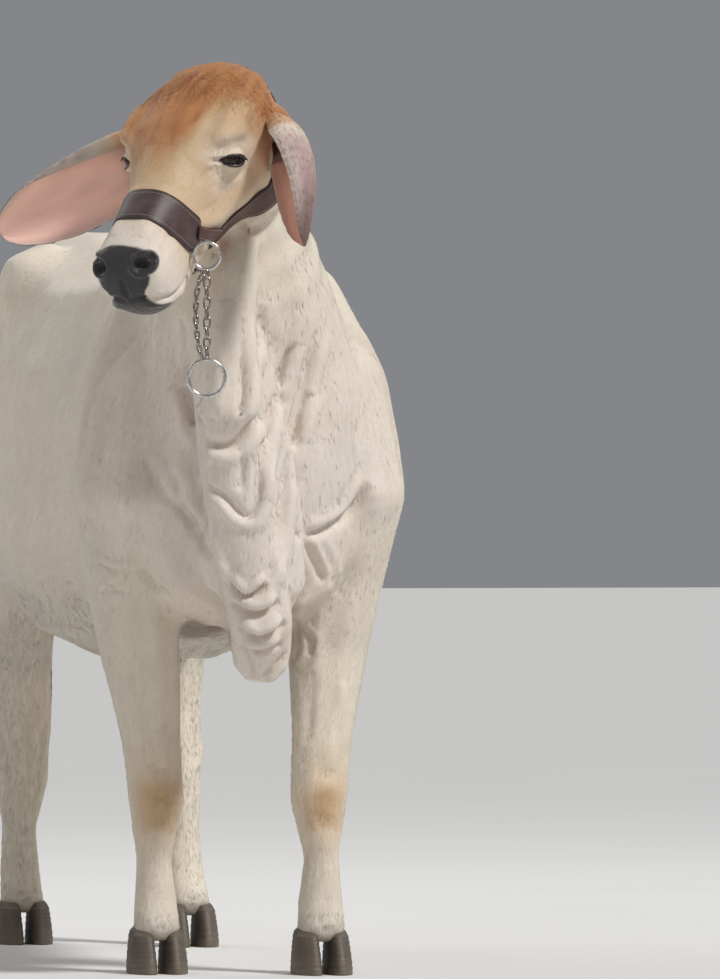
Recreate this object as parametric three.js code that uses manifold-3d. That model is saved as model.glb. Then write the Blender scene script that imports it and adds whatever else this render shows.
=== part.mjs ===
// A standing yearling of a humped, loose-skinned breed of cattle, life size, in millimetres.
// It faces -Y with its left side towards +X, and its claws stand on z = 0.

import * as THREE from "three";
import { ParametricGeometry } from "three/addons/geometries/ParametricGeometry.js";
import { mergeVertices } from "three/addons/utils/BufferGeometryUtils.js";
import Module from "manifold-3d";

const wasm = await Module();
wasm.setup();

// Driving dimensions
const WITHERS = 1240;
const HIP_HEIGHT = 1268;
const BELLY_HEIGHT = 492;
const HOOF_HEIGHT = 62;
const CUT = 0.3;
const SKIN_GAP = 1;

// Where the four feet stand, and how far each limb's rings follow its foot
const FEET = {
  front_left: { side: 1, x: 126, y: -528 },
  front_right: { side: -1, x: -128, y: -438 },
  hind_left: { side: 1, x: 138, y: 478 },
  hind_right: { side: -1, x: -120, y: 640 },
};
const FRONT_REST = { x: 127, y: -450 };
const HIND_REST = { x: 110, y: 545 };
const CLAW_SPREAD = 25;

// The head is drawn level, facing -Y, with the top of the poll at its own origin
const HEAD_AT = new THREE.Vector3(-88, -752, 1474);
const HEAD_TURN = THREE.MathUtils.degToRad(-46);
const HEAD_NOD = THREE.MathUtils.degToRad(38.7);
const EYE = { x: 88, y: -192, z: -52, radius: 19.5 };

// The halter, in the head's own frame
const STRAP_THICK = 4.5;
const STRAP_LIFT = 4;
const NOSEBAND_HALF = 30;
const CHEEK_STRAP_HALF = 16;
const KEEPER_HALF = 8;
const CHEEK_RING = { x: 79, y: -332, z: -138, radius: 21.5, wire: 2.9 };
const LEAD_RING = { radius: 29, wire: 3.1 };
const CHAIN_DROP = 136;
const CHAIN_RADIUS = 5.5;
const RING_TURN = THREE.MathUtils.degToRad(-14);

const COLOURS = {
  coat: [0xe4ddd0, 0.85, 0],
  poll: [0xb77a45, 0.85, 0],
  pale: [0xe6d2c6, 0.8, 0],
  horn: [0x4a4038, 0.55, 0],
  eye: [0x17100c, 0.1, 0],
  leather: [0x3d221c, 0.5, 0],
  steel: [0xb9b9b6, 0.25, 1],
  switch: [0x3b3029, 0.8, 0],
};

const SIDEWAYS = new THREE.Vector3(1, 0, 0);

// Solids

// A geometry as a closed solid that faces out; triangles squeezed flat at a pole are dropped
function solid(geometry) {
  const bare = geometry.clone();
  bare.deleteAttribute("normal");
  bare.deleteAttribute("uv");
  const merged = mergeVertices(bare, 1e-3);
  const points = merged.attributes.position.array;
  const kept = [];
  let volume = 0;
  const corners = [new THREE.Vector3(), new THREE.Vector3(), new THREE.Vector3()];
  for (let i = 0; i < merged.index.count; i += 3) {
    const ids = [0, 1, 2].map((k) => merged.index.getX(i + k));
    if (ids[0] === ids[1] || ids[1] === ids[2] || ids[2] === ids[0]) continue;
    ids.forEach((id, k) => corners[k].fromArray(points, id * 3));
    volume += corners[0].dot(new THREE.Vector3().crossVectors(corners[1], corners[2]));
    kept.push(ids);
  }
  if (volume < 0) kept.forEach((ids) => ids.reverse());
  const triVerts = new Uint32Array(kept.flat());
  return new wasm.Manifold(new wasm.Mesh({ numProp: 3, vertProperties: points, triVerts }));
}

function geometryOf(manifold) {
  const mesh = manifold.getMesh();
  const points = new Float32Array(mesh.numVert * 3);
  for (let i = 0; i < mesh.numVert; i++) {
    points.set(mesh.vertProperties.subarray(i * mesh.numProp, i * mesh.numProp + 3), i * 3);
  }
  return new THREE.BufferGeometry()
    .setAttribute("position", new THREE.BufferAttribute(points, 3))
    .setIndex(new THREE.BufferAttribute(new Uint32Array(mesh.triVerts), 1));
}

const join = (...parts) => parts.reduce((whole, part) => whole.add(part));

// A closed skin over a row of ovals. Each ring is [x, y, z, half-width, up, down]: the half-width lies
// sideways, and up is sideways crossed with the way the row runs. The first and last ring are points.
function loft(rings, options = {}) {
  const { around = 18, along = 14, square = 2.2, sideways = [SIDEWAYS, SIDEWAYS], grow = 0 } = options;
  const curve = (pick) => new THREE.CatmullRomCurve3(rings.map(pick), false, "catmullrom", 0.5);
  const centres = curve(([x, y, z]) => new THREE.Vector3(x, y, z));
  const sizes = curve(([, , , w, up, down]) => new THREE.Vector3(w, up, down));
  const bend = (c) => Math.sign(c) * Math.abs(c) ** (2 / square);
  return new ParametricGeometry(
    (u, v, target) => {
      const run = centres.getTangent(v);
      const side = sideways[0].clone().lerp(sideways[1], v);
      side.addScaledVector(run, -run.dot(side)).normalize();
      const up = new THREE.Vector3().crossVectors(side, run);
      const size = sizes.getPoint(v).max(new THREE.Vector3()).addScalar(grow);
      const end = v < 1e-6 || v > 1 - 1e-6 ? 0 : 1;
      const angle = 2 * Math.PI * u;
      const across = bend(Math.cos(angle)) * size.x * end;
      const rise = bend(Math.sin(angle)) * end;
      target.copy(centres.getPoint(v));
      target.addScaledVector(side, across).addScaledVector(up, rise * (rise > 0 ? size.y : size.z));
    },
    around,
    along,
  );
}

function ellipsoid([x, y, z], [rx, ry, rz], { wide = 8, high = 5, grow = 0 } = {}) {
  return new THREE.SphereGeometry(1, wide, high).scale(rx + grow, ry + grow, rz + grow).translate(x, y, z);
}

function box([x0, y0, z0], [x1, y1, z1], grow = 0) {
  return new THREE.BoxGeometry(x1 - x0 + 2 * grow, y1 - y0 + 2 * grow, z1 - z0 + 2 * grow).translate(
    (x0 + x1) / 2,
    (y0 + y1) / 2,
    (z0 + z1) / 2,
  );
}

// Trunk

function trunk() {
  // [y, top, bottom, half-width, height of the widest part]
  const stations = [
    [-664, 830, 830, 0, 830],
    [-648, 985, 690, 108, 830],
    [-598, 1110, 585, 185, 820],
    [-520, 1175, 556, 218, 815],
    [-400, WITHERS - 8, 556, 232, 795],
    [-250, WITHERS - 22, 545, 246, 775],
    [-60, WITHERS - 30, BELLY_HEIGHT + 15, 276, 765],
    [120, WITHERS - 24, BELLY_HEIGHT, 288, 770],
    [270, HIP_HEIGHT - 34, BELLY_HEIGHT + 14, 272, 790],
    [400, HIP_HEIGHT - 4, BELLY_HEIGHT + 62, 236, 850],
    [520, HIP_HEIGHT - 4, BELLY_HEIGHT + 145, 216, 905],
    [650, HIP_HEIGHT - 26, 715, 188, 930],
    [745, HIP_HEIGHT - 58, 790, 138, 930],
    [790, HIP_HEIGHT - 130, 850, 90, 938],
    [802, 940, 940, 0, 940],
  ];
  const rings = stations.map(([y, top, bottom, w, wide]) => [0, y, wide, w, top - wide, wide - bottom]);
  return solid(loft(rings, { around: 14, along: 13, square: 2.25 }));
}

function hump() {
  const rings = [
    [0, -575, 1180, 0, 0, 0],
    [0, -545, 1190, 60, 62, 60],
    [0, -480, 1200, 88, 108, 60],
    [0, -410, 1200, 92, 132, 60],
    [0, -340, 1195, 84, 108, 60],
    [0, -270, 1190, 64, 56, 50],
    [0, -215, 1180, 0, 0, 0],
  ];
  return solid(loft(rings, { around: 10, along: 6 }));
}

function hips() {
  const bones = [1, -1].flatMap((side) => [
    ellipsoid([side * 122, 430, HIP_HEIGHT - 150], [98, 150, 104]),
    ellipsoid([side * 70, 700, HIP_HEIGHT - 176], [56, 90, 84]),
  ]);
  const tailHead = ellipsoid([0, 745, HIP_HEIGHT - 62], [46, 75, 40]);
  const udder = ellipsoid([0, 470, BELLY_HEIGHT + 120], [80, 90, 70]);
  const navelFold = ellipsoid([0, 60, BELLY_HEIGHT + 10], [26, 130, 48]);
  return join(...[...bones, tailHead, udder, navelFold].map(solid));
}

// It hangs down behind the right thigh, and its switch reaches below the hock
function tail() {
  const rings = [
    [0, 700, 1205, 0, 0, 0],
    [0, 725, 1200, 40, 34, 34],
    [-3, 790, 1180, 34, 28, 30],
    [-12, 828, 1125, 28, 24, 24],
    [-28, 838, 1040, 22, 20, 20],
    [-46, 840, 910, 17, 16, 16],
    [-58, 838, 770, 14, 14, 14],
    [-62, 834, 690, 14, 14, 14],
    [-64, 832, 620, 24, 22, 22],
    [-64, 832, 550, 34, 30, 30],
    [-62, 834, 460, 38, 33, 33],
    [-60, 838, 380, 26, 24, 24],
    [-60, 840, 320, 0, 0, 0],
  ];
  return solid(loft(rings, { around: 7, along: 17, square: 2 }));
}

// Limbs: each ring is [x, y, z, half-width, rear, front, share of the foot's own shift]
const FRONT_LIMB = [
  [78, -392, 1208, 0, 0, 0, 0],
  [88, -398, 1176, 48, 90, 86, 0],
  [117, -415, 1085, 78, 126, 120, 0],
  [142, -440, 985, 94, 146, 146, 0],
  [167, -466, 890, 103, 150, 160, 0],
  [178, -478, 800, 106, 148, 156, 0],
  [171, -464, 710, 93, 132, 130, 0.1],
  [163, -446, 630, 84, 104, 100, 0.25],
  [156, -440, 560, 75, 82, 82, 0.4],
  [149, -442, 490, 64, 66, 66, 0.55],
  [139, -445, 410, 52, 52, 52, 0.75],
  [127, -448, 335, 56, 48, 52, 0.9],
  [126, -449, 285, 51, 44, 46, 0.95],
  [128, -450, 240, 36, 37, 36, 1],
  [130, -450, 180, 32, 34, 32, 1],
  [129, -450, 135, 35, 37, 35, 1],
  [127, -451, 103, 42, 44, 40, 1],
  [127, -457, 76, 40, 40, 38, 1],
  [127, -462, 52, 43, 42, 42, 1],
  [127, -462, 30, 0, 0, 0, 1],
];
const HIND_LIMB = [
  [100, 545, 1190, 0, 0, 0, 0],
  [108, 550, 1165, 48, 92, 92, 0],
  [118, 562, 1090, 80, 160, 152, 0],
  [130, 574, 1000, 96, 202, 190, 0.05],
  [139, 574, 890, 103, 204, 208, 0.1],
  [142, 562, 790, 99, 172, 212, 0.2],
  [138, 560, 700, 86, 128, 168, 0.35],
  [124, 574, 615, 72, 96, 108, 0.55],
  [112, 592, 545, 62, 86, 72, 0.7],
  [104, 606, 480, 56, 86, 56, 0.82],
  [100, 612, 420, 55, 78, 52, 0.88],
  [99, 610, 350, 55, 54, 50, 0.92],
  [100, 604, 290, 50, 44, 44, 0.96],
  [106, 596, 240, 38, 38, 38, 1],
  [108, 588, 190, 32, 34, 33, 1],
  [108, 580, 145, 33, 37, 34, 1],
  [109, 568, 106, 42, 46, 42, 1],
  [110, 551, 76, 40, 42, 40, 1],
  [110, 543, 52, 43, 42, 42, 1],
  [110, 543, 30, 0, 0, 0, 1],
];

function limb(rows, rest, foot) {
  const rings = rows.map(([x, y, z, w, rear, front, share]) => [
    foot.side * x + share * (foot.x - foot.side * rest.x),
    y + share * (foot.y - rest.y),
    z,
    w,
    rear,
    front,
  ]);
  const behind = rest === HIND_REST ? 68 : 42;
  const dewclaws = [-1, 1].map((way) =>
    ellipsoid([foot.x + way * 19, foot.y + behind, 92], [10, 13, 16], { wide: 5, high: 4 }),
  );
  return join(solid(loft(rings, { around: 9, along: 11, square: 2.1 })), ...dewclaws.map(solid));
}

// One claw: a horn box with a flat sole on the ground
function claw(foot, way) {
  const x = foot.x + way * CLAW_SPREAD;
  const y = foot.y;
  const rings = [
    [x, y + 4, 84, 0, 0, 0],
    [x, y + 4, 80, 18, 30, 26],
    [x, y + 2, 58, 21.5, 38, 38],
    [x, y - 4, 28, 23.5, 44, 50],
    [x - way, y - 10, -4, 23, 44, 62],
    [x - way, y - 10, -30, 20, 40, 56],
    [x - way, y - 10, -40, 0, 0, 0],
  ];
  const horn = solid(loft(rings, { around: 8, along: 5, square: 2.3 }));
  const between = solid(box([x - 60, y - 120, 0], [x + 60, y + 120, HOOF_HEIGHT]));
  return horn.intersect(between);
}

// Neck and loose skin

const headPlace = new THREE.Matrix4()
  .makeTranslation(HEAD_AT)
  .multiply(new THREE.Matrix4().makeRotationZ(HEAD_TURN))
  .multiply(new THREE.Matrix4().makeRotationX(HEAD_NOD));
const fromHead = (x, y, z) => new THREE.Vector3(x, y, z).applyMatrix4(headPlace);

function neck(grow = 0) {
  const top = fromHead(0, -30, -100);
  const nape = fromHead(0, 20, -120);
  const headSide = SIDEWAYS.clone().transformDirection(headPlace);
  const rings = [
    [top.x, top.y, top.z, 0, 0, 0],
    [top.x, top.y + 6, top.z - 12, 52, 26, 70],
    [nape.x, nape.y, nape.z, 84, 58, 108],
    [-42, -664, 1262, 96, 104, 122],
    [-32, -645, 1180, 118, 132, 140],
    [-20, -605, 1090, 150, 160, 150],
    [-10, -550, 1000, 190, 180, 160],
    [-4, -525, 900, 205, 160, 180],
    [0, -505, 800, 196, 130, 190],
    [0, -492, 710, 176, 110, 172],
    [0, -470, 640, 150, 90, 140],
    [0, -440, 590, 0, 0, 0],
  ];
  return solid(loft(rings, { around: 12, along: 10, square: 2.15, sideways: [headSide, SIDEWAYS], grow }));
}

function dewlap() {
  const rings = [
    [-62, -770, 1215, 0, 0, 0],
    [-66, -768, 1190, 36, 60, 34],
    [-80, -778, 1110, 46, 90, 44],
    [-88, -785, 1010, 50, 110, 46],
    [-82, -785, 900, 54, 140, 46],
    [-66, -775, 800, 57, 150, 42],
    [-46, -762, 700, 58, 150, 42],
    [-28, -740, 610, 57, 150, 48],
    [-14, -700, 537, 54, 118, 62],
    [0, -630, 527, 44, 60, 50],
    [2, -540, 545, 38, 50, 38],
    [2, -470, 560, 0, 0, 0],
  ];
  const slope = [
    [-52, -760, 1070, 0, 0, 0],
    [-40, -748, 1000, 34, 60, 34],
    [-20, -742, 900, 42, 60, 38],
    [-2, -735, 800, 44, 60, 40],
    [14, -722, 700, 42, 60, 38],
    [26, -705, 620, 32, 50, 30],
    [30, -690, 575, 0, 0, 0],
  ];
  const throatBag = ellipsoid([-82, -788, 915], [54, 62, 62], { wide: 7, high: 4 });
  const brisket = ellipsoid([-32, -655, 690], [88, 80, 88], { wide: 8, high: 4 });
  const skirt = solid(loft(rings, { around: 9, along: 12, square: 2.1 }));
  return join(skirt, solid(loft(slope, { around: 7, along: 5 })), solid(throatBag), solid(brisket));
}

// Head

function head(grow = 0) {
  // [y, top, bottom, half-width, height of the widest part]
  const stations = [
    [-460, -95, -95, 0, -95],
    [-454, -64, -140, 46, -98],
    [-438, -45, -168, 62, -100],
    [-410, -36, -190, 67, -104],
    [-370, -30, -199, 64, -106],
    [-318, -22, -192, 59, -98],
    [-262, -7, -194, 70, -84],
    [-216, 11, -212, 89, -70],
    [-176, 27, -230, 105, -60],
    [-132, 37, -240, 115, -46],
    [-88, 34, -240, 111, -60],
    [-46, 21, -224, 95, -76],
    [-8, -2, -190, 74, -85],
    [20, -25, -145, 52, -85],
    [34, -85, -85, 0, -85],
  ];
  const rings = stations.map(([y, top, bottom, w, wide]) => [0, y, wide, w, top - wide, wide - bottom]);
  const skull = solid(loft(rings, { around: 16, along: 15, square: 2.3, grow }));
  const extras = [1, -1].flatMap((side) => [
    ellipsoid([side * 78, -180, -36], [28, 50, 26], { wide: 6, high: 5, grow }),
    ellipsoid([side * 84, -148, -14], [32, 62, 32], { wide: 7, high: 5, grow }),
    ellipsoid([side * 64, -112, -165], [32, 78, 62], { wide: 7, high: 4, grow }),
    ellipsoid([side * 82, -60, -76], [40, 34, 36], { wide: 7, high: 4, grow }),
    ellipsoid([side * 36, -426, -84], [26, 26, 28], { wide: 6, high: 4, grow }),
  ]);
  return join(skull, ...extras.map(solid));
}

// An ear is a curved leaf: its spine bends from base through mid to tip, its hollow looks towards face,
// curl is half the angle that it is rolled through, half is its half-width laid flat, and it is
// full width from the share of its length named full
const EARS = {
  left: {
    base: [66, -48, -76],
    mid: [215, -66, -73],
    tip: [210, -258, -178],
    face: [-0.48, -1.25, 0.08],
    curl: 1.9,
    half: 86,
    full: 0.46,
  },
  right: {
    base: [-62, -54, -82],
    mid: [-202, -132, -133],
    tip: [-376, -235, -158],
    face: [0.39, -0.66, 0.48],
    curl: 0.86,
    half: 75,
    full: 0.34,
  },
};

function ear({ base, mid, tip, face, curl, half, full }) {
  const [from, over, to] = [base, mid, tip].map((p) => new THREE.Vector3(...p));
  const spine = new THREE.QuadraticBezierCurve3(from, over, to);
  const halfWidth = (s) => {
    const spread = 0.36 + 0.64 * THREE.MathUtils.smoothstep(s, 0, full);
    return half * spread * Math.sqrt(1 - Math.max(0, (s - 0.5) / 0.5) ** 2);
  };
  return new ParametricGeometry(
    (u, v, target) => {
      const run = spine.getTangent(v);
      const hollow = new THREE.Vector3(...face);
      hollow.addScaledVector(run, -run.dot(hollow)).normalize();
      const rise = new THREE.Vector3().crossVectors(run, hollow);
      const open = v < 1e-6 || v > 1 - 1e-6 ? 0 : 1;
      const angle = 2 * Math.PI * u;
      const roll = curl + (1 - v) ** 3 * (2.2 - curl);
      const bow = halfWidth(v) / roll;
      const turn = Math.cos(angle) * roll;
      const radius = bow - Math.sin(angle) * (4 - 2.2 * v);
      target.copy(spine.getPoint(v));
      target.addScaledVector(rise, Math.sin(turn) * radius * open);
      target.addScaledVector(hollow, (bow - Math.cos(turn) * radius) * open);
    },
    12,
    8,
  );
}

// Halter: straps that follow the skin. A place on the head is [y, turn], the turn in degrees round the
// head's long axis from the top of the face; the left side is positive.

const HEAD_AXIS_Z = -100;
const NOSE_ROUTE = [
  [-304, -112],
  [-314, -100],
  [-333, -60],
  [-342, 0],
  [-333, 60],
  [-314, 100],
  [-304, 112],
];
const CHEEK_ROUTE = [
  [-256, 148],
  [-216, 142],
  [-174, 129],
  [-120, 124],
  [-72, 114],
  [-32, 102],
  [-8, 84],
];
const KEEPER_ROUTE = [
  [-309, 98],
  [-292, 112],
  [-270, 124],
  [-254, 134],
];
const CROWN_ROUTE = [
  [-28, 78],
  [-38, 42],
  [-44, 0],
  [-38, -42],
  [-28, -78],
];
const CROWN_LEAN = 38;
const JAW_ROUTE = [
  [-292, 150],
  [-304, 180],
  [-292, 210],
];
const mirrored = (route) => route.map(([y, turn]) => [y, -turn]);

function harness(touched) {
  const target = new THREE.Mesh(geometryOf(touched), new THREE.MeshBasicMaterial({ side: THREE.DoubleSide }));
  const ray = new THREE.Raycaster();
  const outward = (turn, lean) => {
    const [round, back] = [turn, lean].map(THREE.MathUtils.degToRad);
    return new THREE.Vector3(Math.sin(round), Math.tan(back), Math.cos(round)).normalize();
  };
  // The skin under a point, looking in from 150 mm outside it
  const under = (point, out) => {
    ray.set(point.clone().addScaledVector(out, 150), out.clone().negate());
    const hit = ray.intersectObject(target)[0];
    return hit ? hit.point : point;
  };

  // A strap along a route, half wide each way, lifted clear of the skin; lean is how far back its outside faces
  return function strap(route, options) {
    const { half, lift = STRAP_LIFT, thick = STRAP_THICK, along, square = 4, lean = 0 } = options;
    const places = new THREE.CatmullRomCurve3(route.map(([y, turn]) => new THREE.Vector3(y, turn, 0)));
    const middle = (t) => {
      const place = places.getPoint(THREE.MathUtils.clamp(t, 0, 1));
      const out = outward(place.y, lean);
      return { out, point: under(new THREE.Vector3(0, place.x, HEAD_AXIS_Z), out) };
    };
    const bend = (c) => Math.sign(c) * Math.abs(c) ** (2 / square);
    const surface = (u, v, target) => {
      const { out, point } = middle(v);
      const run = middle(v + 0.02).point.sub(middle(v - 0.02).point).normalize();
      const across = new THREE.Vector3().crossVectors(run, out).normalize();
      const open = v < 1e-6 || v > 1 - 1e-6 ? 0 : 1;
      const angle = 2 * Math.PI * u;
      const foot = under(point.addScaledVector(across, half * bend(Math.cos(angle)) * open), out);
      const height = lift + thick * (0.5 + 0.5 * bend(Math.sin(angle)) * open);
      target.copy(foot).addScaledVector(out, height);
    };
    return solid(new ParametricGeometry(surface, 8, along)).subtract(touched);
  };
}

// A ring of round wire that hangs upright and faces the way the chest does
function ring(centre, { radius, wire }, grow = 0) {
  const turn = new THREE.TorusGeometry(radius, wire + grow, 5, 12).rotateX(Math.PI / 2).rotateZ(RING_TURN);
  return solid(turn.translate(centre.x, centre.y, centre.z));
}

// A hanging chain, as one rod that swells at each link
function hangingChain(top, length) {
  const links = 6;
  const surface = (u, v, target) => {
    const open = v < 1e-6 || v > 1 - 1e-6 ? 0 : 1;
    const swell = CHAIN_RADIUS * (0.75 + 0.25 * Math.cos(2 * Math.PI * links * v)) * open;
    const angle = 2 * Math.PI * u;
    target.set(top.x + swell * Math.cos(angle), top.y + swell * Math.sin(angle), top.z - length * v);
  };
  return solid(new ParametricGeometry(surface, 5, links * 2));
}

// Parting

// The largest body of a solid; crumbs left by a cut are dropped
function largest(body) {
  return body.decompose().reduce((best, one) => (one.volume() > best.volume() ? one : best));
}

// What of a body lies in a region, and the rest of it, a thin cut apart
function carve(body, makeRegion) {
  return [largest(body.intersect(makeRegion(0))), body.subtract(makeRegion(CUT))];
}

const inHeadFrame = (body) => solid(geometryOf(body).applyMatrix4(headPlace));
const inBodyOf = (body) => solid(geometryOf(body).applyMatrix4(headPlace.clone().invert()));

const REGIONS = {
  head: (grow) =>
    join(
      solid(
        box([-190, -560, -262], [190, 0, 200], grow)
          .rotateX(THREE.MathUtils.degToRad(-16.6))
          .translate(0, 22, 0)
          .applyMatrix4(headPlace),
      ),
      solid(box([-110, -560, -222], [110, -250, -60], grow).applyMatrix4(headPlace)),
    ),
  tail: (grow) => solid(box([-130, 803, 300], [80, 960, 1300], grow)),
  hump: (grow) => solid(box([-160, -580, WITHERS - 4], [160, -200, 1400], grow)),
  neck: (grow) =>
    solid(
      box([-280, -320, 0], [280, 190, 420], grow)
        .rotateX(THREE.MathUtils.degToRad(27.8))
        .translate(0, -560, 1010),
    ),
  dewlap: (grow) =>
    join(
      solid(box([-170, -900, 420], [100, -700, 1100], grow)),
      solid(box([-57, -710, 420], [57, -440, 574], grow)),
    ),
};
const legRegion = (foot, front, top) => (grow) => {
  const [near, far] = front ? [58, 400] : [20, 400];
  const xs = foot.side > 0 ? [near, far] : [-far, -near];
  const ys = front ? [-780, -290] : [400, 900];
  return solid(box([xs[0], ys[0], -50], [xs[1], ys[1], top], grow));
};

function addMesh(name, body, [color, roughness, metalness]) {
  const shape = body.isBufferGeometry ? body : geometryOf(body);
  const made = new THREE.Mesh(shape, new THREE.MeshStandardMaterial({ color, roughness, metalness }));
  made.name = name;
  cow.add(made);
}

const SIDES = { left: 1, right: -1 };
const cow = new THREE.Group();
const limbs = Object.entries(FEET).map(([name, foot]) =>
  name.startsWith("front") ? limb(FRONT_LIMB, FRONT_REST, foot) : limb(HIND_LIMB, HIND_REST, foot),
);
const sockets = [1, -1].map((side) => {
  const place = [side * EYE.x, EYE.y, EYE.z];
  return solid(ellipsoid(place, [EYE.radius, EYE.radius, EYE.radius], { grow: CUT }));
});
const headBody = head().subtract(join(...sockets));
let flesh = join(trunk(), hump(), hips(), neck(), dewlap(), tail(), ...limbs, inHeadFrame(headBody));
flesh = flesh.trimByPlane([0, 0, 1], HOOF_HEIGHT + CUT);

const pieces = {};
for (const [name, region] of Object.entries(REGIONS)) {
  const [piece, rest] = carve(flesh, region);
  flesh = rest;
  pieces[name] = piece;
  if (name === "tail") {
    const [upper, tuft] = piece.splitByPlane([0, 0, 1], 640);
    addMesh("tail", upper, COLOURS.coat);
    addMesh("tail_switch", tuft.trimByPlane([0, 0, -1], CUT - 640), COLOURS.switch);
  } else {
    addMesh(name, piece, name === "head" ? COLOURS.poll : COLOURS.coat);
  }
}
for (const [name, foot] of Object.entries(FEET)) {
  const front = name.startsWith("front");
  const [knee, top] = front ? [262, 600] : [248, 632];
  const [leg, rest] = carve(flesh, legRegion(foot, front, top));
  flesh = rest;
  addMesh("leg_" + name + "_lower", largest(leg.trimByPlane([0, 0, -1], -knee)), COLOURS.coat);
  addMesh("leg_" + name + "_upper", largest(leg.trimByPlane([0, 0, 1], knee + CUT)), COLOURS.coat);
  for (const way of [-1, 1]) {
    addMesh("claw_" + name + (way === foot.side ? "_outer" : "_inner"), claw(foot, way), COLOURS.horn);
  }
}
addMesh("trunk", largest(flesh), COLOURS.coat);

const touched = join(head(SKIN_GAP), inBodyOf(neck(SKIN_GAP)), inBodyOf(pieces.head));
for (const [name, shape] of Object.entries(EARS)) {
  addMesh("ear_" + name, inHeadFrame(largest(solid(ear(shape)).subtract(touched))), COLOURS.pale);
}

const strap = harness(touched);
const overStrap = { half: KEEPER_HALF, lift: STRAP_LIFT + STRAP_THICK + 1.5, along: 6 };
const chainLike = { half: 5, lift: 1.5, thick: 9, along: 7, square: 2 };
const rings = {};
for (const [name, side] of Object.entries(SIDES)) {
  const ball = solid(ellipsoid([side * EYE.x, EYE.y, EYE.z], [EYE.radius, EYE.radius, EYE.radius]));
  addMesh("eye_" + name, inHeadFrame(ball), COLOURS.eye);
  rings[name] = fromHead(side * CHEEK_RING.x, CHEEK_RING.y, CHEEK_RING.z);
  addMesh("cheek_ring_" + name, ring(rings[name], CHEEK_RING), COLOURS.steel);
}

// A strap's largest body, clear of the rings it passes through
const wires = join(ring(rings.left, CHEEK_RING, 0.5), ring(rings.right, CHEEK_RING, 0.5));
function addStrap(name, route, options, colour = COLOURS.leather) {
  addMesh(name, largest(inHeadFrame(strap(route, options)).subtract(wires)), colour);
}

addStrap("crown_strap", CROWN_ROUTE, { half: CHEEK_STRAP_HALF, lift: 5, along: 10, lean: CROWN_LEAN });
addStrap("jaw_chain", JAW_ROUTE, chainLike, COLOURS.steel);
addStrap("noseband", NOSE_ROUTE, { half: NOSEBAND_HALF, along: 9 });
for (const [name, side] of Object.entries(SIDES)) {
  const way = (route) => (side > 0 ? route : mirrored(route));
  addStrap("cheek_strap_" + name, way(CHEEK_ROUTE), { half: CHEEK_STRAP_HALF, along: 11 });
  addStrap("keeper_" + name, way(KEEPER_ROUTE), overStrap);
}

const chainTop = rings.left.clone();
chainTop.z -= CHEEK_RING.radius + CHEEK_RING.wire + 0.5;
addMesh("lead_chain", hangingChain(chainTop, CHAIN_DROP), COLOURS.steel);
const leadRing = chainTop.clone();
leadRing.z -= CHAIN_DROP + LEAD_RING.radius + LEAD_RING.wire + 0.5;
addMesh("lead_ring", ring(leadRing, LEAD_RING), COLOURS.steel);

// The origin lies on the ground under the middle of the body's box
const middle = new THREE.Box3().setFromObject(cow).getCenter(new THREE.Vector3());
cow.position.set(-middle.x, -middle.y, 0);

export default cow;
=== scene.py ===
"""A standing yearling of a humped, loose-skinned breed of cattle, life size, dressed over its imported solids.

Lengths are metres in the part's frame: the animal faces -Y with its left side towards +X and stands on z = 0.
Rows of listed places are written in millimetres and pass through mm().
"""
import logging
import math
from collections.abc import Callable, Sequence
from dataclasses import dataclass
from enum import Enum

import bmesh
import bpy
import numpy as np
from mathutils import Matrix, Vector
from mathutils.bvhtree import BVHTree


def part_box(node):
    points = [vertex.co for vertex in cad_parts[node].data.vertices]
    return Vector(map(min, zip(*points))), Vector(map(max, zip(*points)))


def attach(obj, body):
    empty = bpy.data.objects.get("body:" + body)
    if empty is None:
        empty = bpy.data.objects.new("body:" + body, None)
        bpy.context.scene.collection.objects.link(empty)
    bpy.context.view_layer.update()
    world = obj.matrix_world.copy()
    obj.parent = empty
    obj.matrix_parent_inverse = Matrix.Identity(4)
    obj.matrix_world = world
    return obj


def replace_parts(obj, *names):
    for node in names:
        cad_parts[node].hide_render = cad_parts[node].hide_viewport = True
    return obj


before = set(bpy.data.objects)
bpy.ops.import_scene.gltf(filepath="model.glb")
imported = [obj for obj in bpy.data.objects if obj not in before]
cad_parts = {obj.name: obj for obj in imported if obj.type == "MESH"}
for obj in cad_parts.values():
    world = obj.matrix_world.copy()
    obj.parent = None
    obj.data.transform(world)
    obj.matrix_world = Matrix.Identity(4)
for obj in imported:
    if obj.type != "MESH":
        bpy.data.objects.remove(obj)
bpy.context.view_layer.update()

BODY = "root"
MM = 0.001
MARKING = "Marking"
LIE = "Lie"
EDGE = "Edge"
Number = float | np.ndarray
Material = bpy.types.Material
log = logging.getLogger("yearling")


# Numbers and curves


def mm(rows: Sequence) -> np.ndarray:
    """Rows of millimetres as an array of metres."""
    return np.array(rows, float) * MM


def ease(value: Number, low: Number, high: Number) -> Number:
    """A smooth step from 0 at low to 1 at high."""
    t = np.clip((value - low) / (high - low), 0.0, 1.0)
    return t * t * (3.0 - 2.0 * t)


def bell(value: Number, centre: float, width: float) -> Number:
    """A soft hump of height 1 at the centre."""
    return np.exp(-(((value - centre) / width) ** 2))


def unit(rows: np.ndarray) -> np.ndarray:
    """Rows scaled to length 1."""
    size = np.linalg.norm(rows, axis=-1, keepdims=True)
    return rows / np.maximum(size, 1e-9)


def softened(rows: np.ndarray, rounds: int) -> np.ndarray:
    """The same rows with all but the two end ones drawn towards the mean of their neighbours."""
    for _ in range(rounds):
        rows[1:-1] = (rows[:-2] + 2 * rows[1:-1] + rows[2:]) / 4
    return rows


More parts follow.
